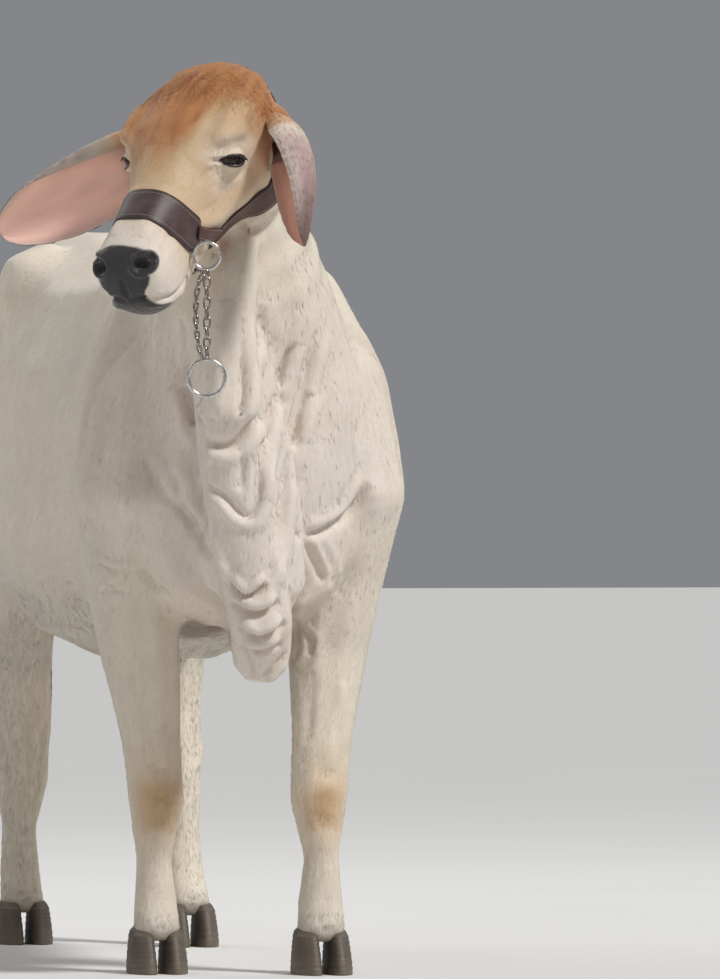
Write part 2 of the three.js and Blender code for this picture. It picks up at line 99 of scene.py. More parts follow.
def through(points: np.ndarray, count: int) -> np.ndarray:
    """A smooth curve through given points.

    Args:
        points: the points, one row each.
        count: how many points the curve has.

    Returns:
        The curve's points, evenly spread over its spans.
    """
    points = np.asarray(points, float)
    padded = np.vstack([2 * points[0] - points[1], points, 2 * points[-1] - points[-2]])
    place = np.linspace(0, len(points) - 1 - 1e-9, count)
    start = place.astype(int)
    t = (place - start)[:, None]
    a, b, c, d = (padded[start + k] for k in range(4))
    cubic = 2 * b + (c - a) * t + (2 * a - 5 * b + 4 * c - d) * t**2 + (3 * b - a - 3 * c + d) * t**3
    return 0.5 * cubic


def lengths(line: np.ndarray) -> np.ndarray:
    """How far along a line each of its points is."""
    return np.append(0, np.cumsum(np.linalg.norm(np.diff(line, axis=0), axis=1)))


def at_length(line: np.ndarray, length: float) -> np.ndarray:
    """The place a length along a line."""
    return np.array([np.interp(length, lengths(line), line[:, axis]) for axis in range(3)])


def noise(points: np.ndarray, seed: int = 0) -> np.ndarray:
    """Smooth value noise in -1..1 with cells one unit wide.

    Args:
        points: places, three numbers each.
        seed: which noise.

    Returns:
        One number for each place.
    """
    cell = np.floor(points).astype(np.int64)
    t = points - cell
    t = t * t * (3 - 2 * t)
    total = np.zeros(len(points))
    for corner in np.ndindex(2, 2, 2):
        at = cell + corner
        mixed = (at[:, 0] * 73856093) ^ (at[:, 1] * 19349663) ^ (at[:, 2] * 83492791) ^ (seed * 2654435761)
        mixed = (mixed ^ (mixed >> 13)) * 1274126177
        value = ((mixed ^ (mixed >> 16)) & 0xFFFF) / 32767.5 - 1.0
        weight = np.prod(np.where(np.array(corner) == 1, t, 1 - t), axis=1)
        total += value * weight
    return total


def distance_to(points: np.ndarray, path: np.ndarray) -> tuple[np.ndarray, np.ndarray]:
    """How far points are from a path, and how far along it their nearest place is.

    Args:
        points: places, one row each.
        path: the path's points.

    Returns:
        The distances, and the shares of the path's length from 0 to 1.
    """
    best = np.full(len(points), np.inf)
    share = np.zeros(len(points))
    spans = len(path) - 1
    for k in range(spans):
        a, run = path[k], path[k + 1] - path[k]
        t = np.clip(((points - a) @ run) / max(run @ run, 1e-12), 0, 1)
        gap = np.linalg.norm(points - a - t[:, None] * run, axis=1)
        nearer = gap < best
        best[nearer] = gap[nearer]
        share[nearer] = (k + t[nearer]) / spans
    return best, share


# Places


class Side(Enum):
    """The animal's own left and right."""

    LEFT = 1
    RIGHT = -1

    @property
    def word(self) -> str:
        """The side's name as it stands in node names."""
        return self.name.lower()


class Place:
    """A turned frame: local rows of numbers to world places and back."""

    def __init__(self, origin: np.ndarray, axes: np.ndarray) -> None:
        """Keeps the frame.

        Args:
            origin: where the frame's zero is.
            axes: its three axes as columns.
        """
        self.origin = origin
        self.axes = axes

    def world(self, local: np.ndarray) -> np.ndarray:
        """World places of local ones."""
        return np.asarray(local, float) @ self.axes.T + self.origin

    def local(self, world: np.ndarray) -> np.ndarray:
        """Local places of world ones."""
        return (np.asarray(world, float) - self.origin) @ self.axes

    def turned(self, local: np.ndarray) -> np.ndarray:
        """World directions of local ones."""
        return np.asarray(local, float) @ self.axes.T


@dataclass(frozen=True)
class Stance:
    """Where the head is held and where the view is taken from, before the origin moved under the body."""

    poll: tuple[float, float, float] = (-0.088, -0.752, 1.474)
    turn: float = math.radians(-46)
    nod: float = math.radians(38.7)
    eye: tuple[float, float, float] = (0.088, -0.192, -0.052)
    eye_radius: float = 0.0195
    viewer: tuple[float, float, float] = (-3.6757, -16.0433, 0.789)
    view_azimuth: float = math.radians(-14)
    view_distance: float = 16.0
    frame_height: float = 979 / 9808

    @property
    def shift(self) -> np.ndarray:
        """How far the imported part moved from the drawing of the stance."""
        axes = np.array(Matrix.Rotation(self.turn, 3, "Z") @ Matrix.Rotation(self.nod, 3, "X"))
        drawn = axes @ np.array(self.eye) + np.array(self.poll)
        low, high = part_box("eye_left")
        moved = (np.array(low) + np.array(high)) / 2 - drawn
        return moved * (1, 1, 0)

    def head(self) -> Place:
        """The head's frame: left, back and top of the skull."""
        axes = Matrix.Rotation(self.turn, 3, "Z") @ Matrix.Rotation(self.nod, 3, "X")
        return Place(np.array(self.poll) + self.shift, np.array(axes))

    def picture(self) -> Place:
        """The viewer's frame: right, up and towards the viewer."""
        towards = (math.sin(self.view_azimuth), -math.cos(self.view_azimuth), 0)
        right = (math.cos(self.view_azimuth), math.sin(self.view_azimuth), 0)
        axes = np.array([right, (0, 0, 1), towards]).T
        return Place(np.array(self.viewer) + self.shift, axes)


STANCE = Stance()
HEAD = STANCE.head()
PICTURE = STANCE.picture()


def feet() -> dict[str, np.ndarray]:
    """The middle of each foot's two claws, by foot."""
    found = {}
    for foot in ("front_left", "front_right", "hind_left", "hind_right"):
        corners = [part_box(f"claw_{foot}_{which}") for which in ("inner", "outer")]
        found[foot] = np.mean([(np.array(low) + np.array(high)) / 2 for low, high in corners], axis=0)
    return found


FEET = feet()


# Shaders


class Wire:
    """A shader socket that takes part in sums, so that value maths reads as maths."""

    def __init__(self, graph: "Graph", socket: bpy.types.NodeSocket) -> None:
        """Wraps one output socket of a graph."""
        self.graph = graph
        self.socket = socket

    def _math(self, operation: str, *values: "Wire | float") -> "Wire":
        """One Math node over values and wires."""
        return self.graph.add("ShaderNodeMath", {"operation": operation}, *values)[0]

    def __add__(self, other: "Wire | float") -> "Wire":
        """Sum."""
        return self._math("ADD", self, other)

    def __sub__(self, other: "Wire | float") -> "Wire":
        """Difference."""
        return self._math("SUBTRACT", self, other)

    def __rsub__(self, other: "Wire | float") -> "Wire":
        """Reflected difference."""
        return self._math("SUBTRACT", other, self)

    def __mul__(self, other: "Wire | float") -> "Wire":
        """Product."""
        return self._math("MULTIPLY", self, other)

    __radd__ = __add__
    __rmul__ = __mul__


class Made:
    """The outputs of one shader node, as wires."""

    def __init__(self, graph: "Graph", node: bpy.types.Node) -> None:
        """Wraps one node of a graph."""
        self.graph = graph
        self.node = node

    def __getitem__(self, key: str | int) -> Wire:
        """An output by name or number."""
        return Wire(self.graph, self.node.outputs[key])


class Graph:
    """A material's node tree."""

    def __init__(self, name: str) -> None:
        """Starts an empty tree in a new material."""
        self.material = bpy.data.materials.new(name)
        self.material.use_nodes = True
        self.tree = self.material.node_tree
        self.tree.nodes.clear()

    def add(self, kind: str, settings: dict | None = None, *values: object, **named: object) -> Made:
        """Adds a node.

        Args:
            kind: the node's type.
            settings: its own settings, such as a Math node's operation.
            values: values or wires for its sockets by order.
            named: values or wires for its sockets by name, with _ for a space.

        Returns:
            The node's outputs.
        """
        node = self.tree.nodes.new(kind)
        for key, value in (settings or {}).items():
            setattr(node, key, value)
        sockets = dict(enumerate(values)) | {name.replace("_", " "): value for name, value in named.items()}
        self._feed(node, sockets)
        return Made(self, node)

    def _feed(self, node: bpy.types.Node, sockets: dict) -> None:
        """Links or sets a node's sockets."""
        for key, value in sockets.items():
            if isinstance(value, Wire):
                self.tree.links.new(value.socket, node.inputs[key])
            elif value is not None:
                node.inputs[key].default_value = value

    def blend(self, first: Wire | tuple, second: Wire | tuple, share: Wire | float, how: str = "MIX") -> Wire:
        """Mixes two colours.

        Args:
            first: colour or wire at share 0.
            second: colour or wire at share 1.
            share: how much of the second.
            how: the blend type.

        Returns:
            The mixed colour.
        """
        first, second = (c if isinstance(c, Wire) else (*c, 1) for c in (first, second))
        mix = self.add("ShaderNodeMix", {"data_type": "RGBA", "blend_type": how})
        self._feed(mix.node, {0: share, 6: first, 7: second})
        return mix[2]

    def cells(self, scale: float) -> Wire:
        """A net of small cells in object space, as the distance from the middle of each."""
        where = self.add("ShaderNodeTexCoord")["Object"]
        return self.add("ShaderNodeTexVoronoi", None, Vector=where, Scale=scale)[0]

    def stored(self, name: str) -> Made:
        """What the mesh carries under a name."""
        return self.add("ShaderNodeAttribute", {"attribute_name": name})

    def spread(self, value: Wire, low: float, high: float, start: float = 0.0, end: float = 1.0) -> Wire:
        """A value between two limits, spread from a start to an end."""
        return self.add("ShaderNodeMapRange", {"clamp": True}, value, low, high, start, end)[0]

    def grain(self, scale: float, detail: float = 3, rough: float = 0.55, where: Wire | None = None) -> Wire:
        """Noise in object space, from 0 to 1.

        Args:
            scale: cells in a metre.
            detail: how many finer layers.
            rough: weight of the finer layers.
            where: coordinates in place of the object's own.

        Returns:
            The noise's value.
        """
        where = where or self.add("ShaderNodeTexCoord")["Object"]
        sockets = {"Vector": where, "Scale": scale, "Detail": detail, "Roughness": rough}
        return self.add("ShaderNodeTexNoise", None, **sockets)[0]

    def stretched(self, where: Wire, scale: tuple[float, float, float]) -> Wire:
        """Coordinates scaled by a different amount on each axis."""
        return self.add("ShaderNodeVectorMath", {"operation": "MULTIPLY"}, where, scale)[0]

    def relief(self, height: Wire, distance: float, strength: float = 1.0, below: Wire | None = None) -> Wire:
        """A bump.

        Args:
            height: the height from 0 to 1.
            distance: metres from 0 to 1.
            strength: how strongly it shows.
            below: a bump that it lies over.

        Returns:
            The bent normal.
        """
        sockets = {"Height": height, "Distance": distance, "Strength": strength, "Normal": below}
        return self.add("ShaderNodeBump", None, **sockets)[0]

    def surface(
        self, colour: Wire | tuple, roughness: Wire | float, normal: Wire | None = None, **constants: object
    ) -> Material:
        """Ends the tree in one glossy surface.

        Args:
            colour: the base colour, a colour or a wire.
            roughness: a number or a wire.
            normal: the bent normal.
            constants: the shader's other sockets, uniform over the surface.

        Returns:
            The finished material.
        """
        colour = colour if isinstance(colour, Wire) else (*colour, 1)
        sockets = {"Base_Color": colour, "Roughness": roughness, "Normal": normal, **constants}
        shader = self.add("ShaderNodeBsdfPrincipled", None, **sockets)
        self.add("ShaderNodeOutputMaterial", None, shader["BSDF"])
        return self.material


@dataclass(frozen=True)
class CoatFinish:
    """Short sleek hair over skin: painted markings, fine streaks along the lie, small skin wrinkles."""

    name: str
    hair_per_metre: float = 900
    relief: float = 0.0006
    roughness: float = 0.62

    def make(self) -> Material:
        """The material."""
        g = Graph(self.name)
        paint = g.stored(MARKING)["Color"]
        lie = g.stored(LIE)["Vector"]
        strands = g.grain(self.hair_per_metre, 3, 0.6, g.stretched(lie, (0.09, 1, 1)))
        locks = g.grain(self.hair_per_metre * 0.16, 3, 0.6, g.stretched(lie, (0.16, 1, 1)))
        patches = g.grain(14, 4, 0.6)
        pores = g.grain(420, 2)
        shade = (strands * 0.34) + (locks * 0.4) + (patches * 0.26)
        dark = g.blend(paint, (0.82, 0.78, 0.73), 1.0, "MULTIPLY")
        contrast = g.spread(shade, 0.36, 0.62)
        colour = g.blend(dark, paint, contrast * 0.75 + 0.25)
        tone = g.add("ShaderNodeRGBToBW", None, paint)[0]
        bare = g.spread(tone, 0.04, 0.09, 1.0, 0.0)
        cells = g.cells(330.0)
        colour = g.blend(colour, g.blend(paint, (0.075, 0.068, 0.070), pores * cells), bare * 0.8)
        skin = g.relief(pores * 0.4 + locks * 1.4, self.relief * 1.6, 0.45)
        haired = g.relief(strands * (1 - bare), self.relief, 0.65, skin)
        normal = g.relief(cells * bare, 0.0009, 0.55, haired)
        rough = (contrast * -0.1 + (self.roughness + 0.06)) - bare * (pores * 0.25 + 0.22)
        gloss = {"Specular_IOR_Level": 0.32, "Sheen_Weight": 0.18, "Sheen_Roughness": 0.45}
        return g.surface(colour, rough, normal, **gloss)


@dataclass(frozen=True)
class TuftFinish:
    """The same hair on separate tufts: each tuft carries the colour of its root."""

    name: str
    roughness: float = 0.6

    def make(self) -> Material:
        """The material."""
        g = Graph(self.name)
        paint = g.stored(MARKING)["Color"]
        fine = g.grain(700, 2)
        colour = g.blend(g.blend(paint, (0.88, 0.85, 0.80), 1.0, "MULTIPLY"), paint, fine)
        gloss = {"Specular_IOR_Level": 0.28, "Sheen_Weight": 0.12, "Sheen_Roughness": 0.4}
        return g.surface(colour, self.roughness, **gloss)


@dataclass(frozen=True)
class EarFinish:
    """Thin ear leaves: pink and nearly bare inside, short mauve-grey hair outside."""

    name: str = "ear leaf"

    def make(self) -> Material:
        """The material."""
        g = Graph(self.name)
        paint = g.stored(MARKING)["Color"]
        lie = g.stored(LIE)["Vector"]
        strands = g.grain(800, 3, 0.6, g.stretched(lie, (0.08, 1, 1)))
        veins = g.grain(34, 4, 0.6, g.stretched(lie, (0.3, 1, 1)))
        dark = g.blend(paint, (0.86, 0.76, 0.72), 1.0, "MULTIPLY")
        colour = g.blend(dark, paint, strands * 0.5 + veins * 0.5)
        below = g.relief(veins, 0.0016, 0.5)
        normal = g.relief(strands, 0.0004, 0.6, below)
        return g.surface(
            colour,
            veins * 0.1 + 0.5,
            normal,
            Subsurface_Weight=0.25,
            Subsurface_Radius=(0.012, 0.005, 0.003),
            Subsurface_Scale=0.5,
            Specular_IOR_Level=0.35,
            Sheen_Weight=0.15,
        )


@dataclass(frozen=True)
class MuzzleFinish:
    """Wet dark leathery skin with a net of fine cells, for lid rims and the like."""

    name: str = "dark bare skin"

    def make(self) -> Material:
        """The material."""
        g = Graph(self.name)
        cells = g.cells(420.0)
        tone = g.grain(120, 3)
        colour = g.blend((0.012, 0.010, 0.010), (0.05, 0.042, 0.040), tone)
        normal = g.relief(cells, 0.0005, 0.6)
        return g.surface(colour, tone * 0.2 + 0.28, normal, Coat_Weight=0.3, Coat_Roughness=0.2)


@dataclass(frozen=True)
class EyeFinish:
    """A wet eyeball: the painted iris under a clear gloss."""

    name: str = "eyeball"

    def make(self) -> Material:
        """The material."""
        g = Graph(self.name)
        paint = g.stored(MARKING)["Color"]
        fleck = g.grain(1500, 3)
        colour = g.blend(g.blend(paint, (0.45, 0.42, 0.40), 1.0, "MULTIPLY"), paint, fleck)
        return g.surface(colour, fleck * 0.03 + 0.05, Coat_Weight=0.35, Coat_Roughness=0.03, IOR=1.38)


@dataclass(frozen=True)
class HornFinish:
    """Hoof horn: dark and dull, with growth rings that run round the claw and fine upright streaks."""

    name: str = "hoof horn"

    def make(self) -> Material:
        """The material."""
        g = Graph(self.name)
        where = g.add("ShaderNodeTexCoord")["Object"]
        rings = g.grain(1, 2, 0.5, g.stretched(where, (9, 9, 210)))
        streaks = g.grain(1, 4, 0.6, g.stretched(where, (420, 420, 22)))
        dust = g.grain(55, 5, 0.65)
        horn = g.blend((0.045, 0.036, 0.030), (0.16, 0.125, 0.095), rings * 0.55 + streaks * 0.45)
        height = g.add("ShaderNodeSeparateXYZ", None, where)["Z"]
        low = g.spread(height, 0.0, 0.03, 0.75, 0.1)
        colour = g.blend(horn, (0.24, 0.20, 0.15), low * dust)
        normal = g.relief(streaks, 0.0004, 0.5, g.relief(rings, 0.0016, 0.7))
        return g.surface(colour, dust * 0.25 + 0.42, normal, Specular_IOR_Level=0.4)


@dataclass(frozen=True)
class LeatherFinish:
    """Oiled strap leather: a pebbled grain, a clouded tone and fine scratches, rubbed darker towards its
    edges.
    """

    name: str
    low: tuple[float, float, float] = (0.045, 0.022, 0.019)
    high: tuple[float, float, float] = (0.115, 0.062, 0.055)

    def make(self) -> Material:
        """The material."""
        g = Graph(self.name)
        edge = g.stored(EDGE)["Fac"]
        cloud = g.grain(60, 5, 0.6)
        grain = g.cells(900.0)
        scratch = g.grain(260, 4, 0.7)
        tone = g.spread(cloud, 0.3, 0.7)
        colour = g.blend(self.low, self.high, tone * 0.75 + scratch * 0.25)
        colour = g.blend(colour, (0.022, 0.012, 0.010), edge * 0.6)
        normal = g.relief(grain, 0.0003, 0.5, g.relief(scratch, 0.0006, 0.35))
        return g.surface(colour, cloud * 0.22 + 0.34, normal, Specular_IOR_Level=0.5)


@dataclass(frozen=True)
class SteelFinish:
    """Plated wire: bright, with dull tarnish in patches and fine scratches."""

    name: str = "plated steel"
    bright: tuple[float, float, float] = (0.70, 0.69, 0.67)
    dull: tuple[float, float, float] = (0.26, 0.23, 0.20)

    def make(self) -> Material:
        """The material."""
        g = Graph(self.name)
        tarnish = g.grain(180, 4, 0.6)
        scratch = g.grain(1400, 3, 0.7)
        cloud = g.spread(tarnish, 0.45, 0.75)
        colour = g.blend(self.bright, self.dull, cloud)
        return g.surface(colour, cloud * 0.22 + 0.2, g.relief(scratch, 0.0001, 0.4), Metallic=1.0)


@dataclass(frozen=True)
class ThreadFinish:
    """Waxed stitching thread, twisted."""

    name: str = "waxed thread"

    def make(self) -> Material:
        """The material."""
        g = Graph(self.name)
        twist = g.grain(1600, 2)
        colour = g.blend((0.30, 0.22, 0.17), (0.55, 0.45, 0.37), twist)
        return g.surface(colour, twist * 0.2 + 0.5, g.relief(twist, 0.0002, 0.5))


@dataclass(frozen=True)
class SwitchFinish:
    """Coarse dark hair of the tail's end and the lashes."""

    name: str
    low: tuple[float, float, float] = (0.012, 0.009, 0.007)
    high: tuple[float, float, float] = (0.085, 0.058, 0.040)

    def make(self) -> Material:
        """The material."""
        g = Graph(self.name)
        where = g.add("ShaderNodeTexCoord")["Object"]
        strand = g.grain(1, 3, 0.6, g.stretched(where, (1500, 1500, 60)))
        colour = g.blend(self.low, self.high, strand)
        return g.surface(colour, strand * 0.15 + 0.42, g.relief(strand, 0.0004, 0.7), Specular_IOR_Level=0.4)


@dataclass(frozen=True)
class FloorFinish:
    """A plain pale floor."""

    name: str = "pale floor"

    def make(self) -> Material:
        """The material."""
        g = Graph(self.name)
        cloud = g.grain(2, 4)
        colour = g.blend((0.70, 0.69, 0.67), (0.74, 0.73, 0.71), cloud)
        return g.surface(colour, cloud * 0.1 + 0.75)


# Meshes


@dataclass
class Shape:
    """A mesh in the making: points, faces of one size, and what its points carry."""

    points: np.ndarray
    faces: np.ndarray
    marking: np.ndarray | None = None
    lie: np.ndarray | None = None
    edge: np.ndarray | None = None
    patch: np.ndarray | None = None

    @staticmethod
    def joined(shapes: list["Shape"]) -> "Shape":
        """One shape of several with the same kind of faces."""
        starts = np.cumsum([0] + [len(s.points) for s in shapes[:-1]])
        faces = np.vstack([s.faces + start for s, start in zip(shapes, starts)])

        def stacked(key: str) -> np.ndarray | None:
            """All the shapes' values of one kind."""
            rows = [getattr(s, key) for s in shapes]
            return None if rows[0] is None else np.concatenate(rows)

        kept = {key: stacked(key) for key in ("marking", "lie", "edge", "patch")}
        return Shape(np.vstack([s.points for s in shapes]), faces, **kept)

    def build(
        self, name: str, material: Material | None, slot: str | None, smooth: bool = True
    ) -> bpy.types.Object:
        """Makes the Blender object.

        Args:
            name: the piece's name.
            material: its material.
            slot: the piece's material slot, or None for a helper that isn't a piece; only whether it is given
                is used, to attach the piece to the body.
            smooth: whether it is shaded smooth.

        Returns:
            The object.
        """
        mesh = bpy.data.meshes.new(name)
        count, size = self.faces.shape
        mesh.vertices.add(len(self.points))
        mesh.vertices.foreach_set("co", self.points.astype(np.float32).ravel())
        mesh.loops.add(count * size)
        mesh.loops.foreach_set("vertex_index", self.faces.astype(np.int32).ravel())
        mesh.polygons.add(count)
        mesh.polygons.foreach_set("loop_start", np.arange(0, count * size, size, dtype=np.int32))
        mesh.update(calc_edges=True)
        mesh.validate()
        mesh.polygons.foreach_set("use_smooth", np.full(len(mesh.polygons), smooth))
        self.carry(mesh)
        piece = bpy.data.objects.new(name, mesh)
        bpy.context.scene.collection.objects.link(piece)
        if material:
            mesh.materials.append(material)
        if slot:
            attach(piece, BODY)
        return piece

    def carry(self, mesh: bpy.types.Mesh) -> None:
        """Writes what the points carry into the mesh."""
        paint = None if self.marking is None else np.hstack([self.marking, np.ones((len(self.marking), 1))])
        for name, kind, key, rows in (
            (MARKING, "FLOAT_COLOR", "color", paint),
            (LIE, "FLOAT_VECTOR", "vector", self.lie),
            (EDGE, "FLOAT", "value", self.edge),
        ):
            if rows is not None:
                values = mesh.attributes.new(name, kind, "POINT").data
                values.foreach_set(key, rows.astype(np.float32).ravel())
        if self.patch is not None:
            layer = mesh.uv_layers.new(name="OFBake")
            layer.data.foreach_set("uv", self.patch[self.faces.ravel()].astype(np.float32).ravel())


def lattice(rows: np.ndarray, caps: bool = True) -> Shape:
    """A skin over rows of points that each go all the way round.

    Args:
        rows: an array of shape (rows, around, 3).
        caps: whether the first and last row are closed to a point.

    Returns:
        A shape of quads; a cap's triangles repeat their last corner.
    """
    count, around, _ = rows.shape
    points = rows.reshape(-1, 3)
    r, k = np.meshgrid(np.arange(count - 1), np.arange(around), indexing="ij")
    nxt = (k + 1) % around
    faces = np.stack([r * around + k, r * around + nxt, (r + 1) * around + nxt, (r + 1) * around + k], -1)
    faces = faces.reshape(-1, 4)
    if not caps:
        return Shape(points, faces)
    ends = rows[[0, -1]].mean(axis=1)
    k = np.arange(around)
    nxt = (k + 1) % around
    first = np.full(around, len(points))
    low = np.stack([nxt, k, first, first], -1)
    start = (count - 1) * around
    high = np.stack([start + k, start + nxt, first + 1, first + 1], -1)
    return Shape(np.vstack([points, ends]), np.vstack([faces, low, high]))


def tidied(shape: Shape) -> Shape:
    """The shape as triangles, without the ones that repeat a corner."""
    a, b, c, d = shape.faces.T
    triangles = np.vstack([np.stack([a, b, c], -1), np.stack([a, c, d], -1)])
    good = (triangles[:, 0] != triangles[:, 1]) & (triangles[:, 1] != triangles[:, 2])
    good &= triangles[:, 2] != triangles[:, 0]
    return Shape(shape.points, triangles[good], shape.marking, shape.lie, shape.edge, shape.patch)


def tube(path: np.ndarray, radii: Number | tuple, around: int = 10, up: Sequence = (0, 0, 1)) -> Shape:
    """A round rod along a path.

    Args:
        path: the middle line.
        radii: one radius, or one for each point of the path.
        around: corners of the section.
        up: the way that the section's corners are counted from, roughly.

    Returns:
        A closed shape of triangles.
    """
    run = unit(np.gradient(path, axis=0))
    side = unit(np.cross(run, np.asarray(up, float)))
    rise = np.cross(side, run)
    turn = np.linspace(0, 2 * math.pi, around, endpoint=False)
    size = np.broadcast_to(np.asarray(radii, float), len(path))[:, None, None]
    section = np.cos(turn)[None, :, None] * side[:, None] + np.sin(turn)[None, :, None] * rise[:, None]
    return tidied(lattice(path[:, None] + section * size))


def loop(path: np.ndarray, radius: float, around: int = 10) -> Shape:
    """A round wire along a closed path, a closed shape of triangles."""
    run = unit(np.roll(path, -1, 0) - np.roll(path, 1, 0))
    normal = unit(np.cross(path[len(path) // 3] - path[0], path[2 * len(path) // 3] - path[0]))
    side = np.cross(run, normal)
    turn = np.linspace(0, 2 * math.pi, around, endpoint=False)
    section = np.cos(turn)[None, :, None] * side[:, None] + np.sin(turn)[None, :, None] * normal
    rows = path[:, None] + section * radius
    return tidied(lattice(np.concatenate([rows, rows[:1]]), caps=False))


# Markings


@dataclass(frozen=True)
class Markings:
    """The coat's colours by place on the body, shared by the skin and the tufts on it, with painted shade
    under the belly, in the armpits and under the chin.
    """

    cream: tuple = (0.78, 0.70, 0.585)
    ash: tuple = (0.50, 0.475, 0.43)
    blush: tuple = (0.83, 0.745, 0.70)
    tan: tuple = (0.56, 0.37, 0.20)
    ginger: tuple = (0.50, 0.215, 0.075)
    rust: tuple = (0.33, 0.115, 0.04)
    sand: tuple = (0.70, 0.50, 0.31)
    umber: tuple = (0.20, 0.115, 0.06)
    charcoal: tuple = (0.030, 0.027, 0.029)

    def __call__(self, points: np.ndarray) -> np.ndarray:
        """The colour at each place on or near the skin."""
        x, y, z = points.T
        colour = np.tile(np.array(self.cream), (len(points), 1))
        broad = noise(points * 5, 1) * 0.6 + noise(points * 13, 2) * 0.4
        colour = self._lay(colour, self.ash, 0.22 * ease(broad, -0.1, 0.8))
        cloud = noise(points * (9, 5, 13), 3) * 0.65 + noise(points * (27, 15, 40), 4) * 0.35
        on_back = ease(z, 0.85, 1.2) * ease(y, -0.3, 0.1)
        colour = self._lay(colour, self.sand, on_back * 0.22 * ease(cloud, -0.2, 0.8))
        # painted shade: the underside of the barrel is laid darker with ash
        belly = (1 - ease(z, 0.5, 0.75)) * ease(z, 0.44, 0.5)
        colour = self._lay(colour, self.ash, 0.35 * belly * ease(y, -0.35, -0.2))
        front = (1 - ease(y, -0.60, -0.45)) * ease(z, 0.42, 0.5) * (1 - ease(z, 1.0, 1.12))
        colour = self._lay(colour, self.blush, front * (0.45 + 0.3 * broad))
        colour = self._legs(colour, points)
        return self._head(colour, points)

    @staticmethod
    def _lay(colour: np.ndarray, over: tuple, share: np.ndarray) -> np.ndarray:
        """Lays one colour over the others by a share for each place."""
        share = np.clip(share, 0, 1)[:, None]
        return colour * (1 - share) + np.array(over) * share

    def _legs(self, colour: np.ndarray, points: np.ndarray) -> np.ndarray:
        """Tan knees and hocks, dark inner thighs, armpits dark brown partly of their own and partly as painted
        shade, dusty pasterns.
        """
        x, y, z = points.T
        for foot, at in FEET.items():
            front = foot.startswith("front")
            ahead = at[1] - y
            near = bell(x, at[0], 0.075) * bell(y, at[1], 0.16)
            if front:
                rough = noise(points * 26, 6) * 0.018
                halo = bell(z, 0.28, 0.085) * bell(x, at[0], 0.07) * ease(ahead, -0.04, 0.03)
                colour = self._lay(colour, self.sand, 0.7 * halo)
                across = bell(x + rough * 0.5, at[0] - 0.002, 0.040) * ease(ahead, -0.012, 0.03)
                patch = ease(z + rough, 0.222, 0.245) * (1 - ease(z + rough, 0.292, 0.325)) * across
                colour = self._lay(colour, self.tan, 0.95 * patch)
                # dark brown on the inner forearm and in the armpit: partly the coat's own brown, partly
                # painted shade of the hollow between leg and brisket
                inner = ease(-np.sign(at[0]) * (x - at[0] * 0.9), 0.015, 0.055)
                upper = ease(z, 0.42, 0.52) * (1 - ease(z, 0.60, 0.68))
                depth = ease(y, at[1] - 0.12, at[1] - 0.04) * (1 - ease(y, at[1] + 0.18, at[1] + 0.26))
                reach = 1 - ease(np.abs(x - at[0]), 0.12, 0.17)
                colour = self._lay(colour, self.umber, 0.75 * inner * upper * depth * reach)
            else:
                inner = ease(-np.sign(at[0]) * (x - at[0]), 0.01, 0.06)
                upper = ease(z, 0.50, 0.6) * (1 - ease(z, 0.72, 0.85))
                reach = 1 - ease(np.abs(x - at[0]), 0.13, 0.17)
                colour = self._lay(colour, self.tan, 0.55 * inner * upper * reach * ease(y, 0.20, 0.32))
                hock = bell(z, 0.43, 0.05) * ease(-ahead, 0.06, 0.12)
                colour = self._lay(colour, self.sand, 0.5 * hock * bell(x, at[0], 0.06))
            colour = self._lay(colour, self.ash, 0.5 * near * (1 - ease(z, 0.06, 0.12)))
            colour = self._lay(colour, self.tan, 0.3 * near * (1 - ease(z, 0.05, 0.075)))
        return colour

    def _head(self, colour: np.ndarray, points: np.ndarray) -> np.ndarray:
        """Orange-brown poll with darker streaks, pale eye rings, and a dark muzzle and chin, the chin partly
        painted shade.
        """
        h = HEAD.local(points)
        x, y, z = h.T
        inside = (1 - ease(y, 0.03, 0.10)) * ease(z, -0.34, -0.26) * (1 - ease(np.abs(x), 0.15, 0.2))
        inside *= ease(y, -0.56, -0.5)
        rough = noise(h * (40, 16, 40), 4)
        fine = noise(h * (110, 22, 110), 5)
        face = self._lay(colour, self.sand, 0.85 * ease(y, -0.42, -0.34) * ease(z, -0.24, -0.08))
        face = self._lay(face, self.blush, 0.35 * (1 - ease(y, -0.38, -0.33)))
        near = ease(x + 0.006 * rough, 0.024, 0.066)
        wide = np.maximum(near, 0.5 * ease(-x + 0.006 * rough, 0.05, 0.11))
        down = -0.262 + 0.112 * wide + 0.016 * rough
        low = -0.085 - 0.045 * ease(y, -0.10, -0.04)
        crown = ease(y, down - 0.03, down + 0.075) * ease(z + 0.012 * rough, low, low + 0.055)
        face = self._lay(face, self.tan, 0.75 * ease(y, down - 0.09, down + 0.01) * ease(z, -0.085, -0.03))
        face = self._lay(face, self.ginger, 0.95 * crown)
        blaze = ease(fine + 0.5 * rough, 0.15, 0.85) * crown
        lean = x - 0.004 + 0.16 * (y + 0.13)
        streak = bell(lean, 0.0, 0.014) * ease(y, -0.245, -0.20) * (1 - ease(y, -0.08, -0.04))
        second = bell(lean - 0.034, 0.0, 0.009) * ease(y, -0.20, -0.17) * (1 - ease(y, -0.09, -0.06)) * 0.6
        rusty = 0.45 * blaze + 0.8 * np.maximum(streak, second) * (0.65 + 0.35 * fine)
        face = self._lay(face, self.rust, np.clip(rusty, 0, 0.9))
        temple = bell(y, -0.122, 0.016) * ease(np.abs(x), 0.075, 0.095) * ease(z, -0.13, -0.06)
        face = self._lay(face, self.tan, 0.55 * temple)
        for side in Side:
            spot = h * (side.value, 1, 1)
            reach = np.linalg.norm((spot - np.array(STANCE.eye)) * (1, 0.8, 1), axis=1)
            ring = 1 - ease(reach + 0.006 * rough, 0.030, 0.062)
            face = self._lay(face, self.cream, 0.65 * ring)
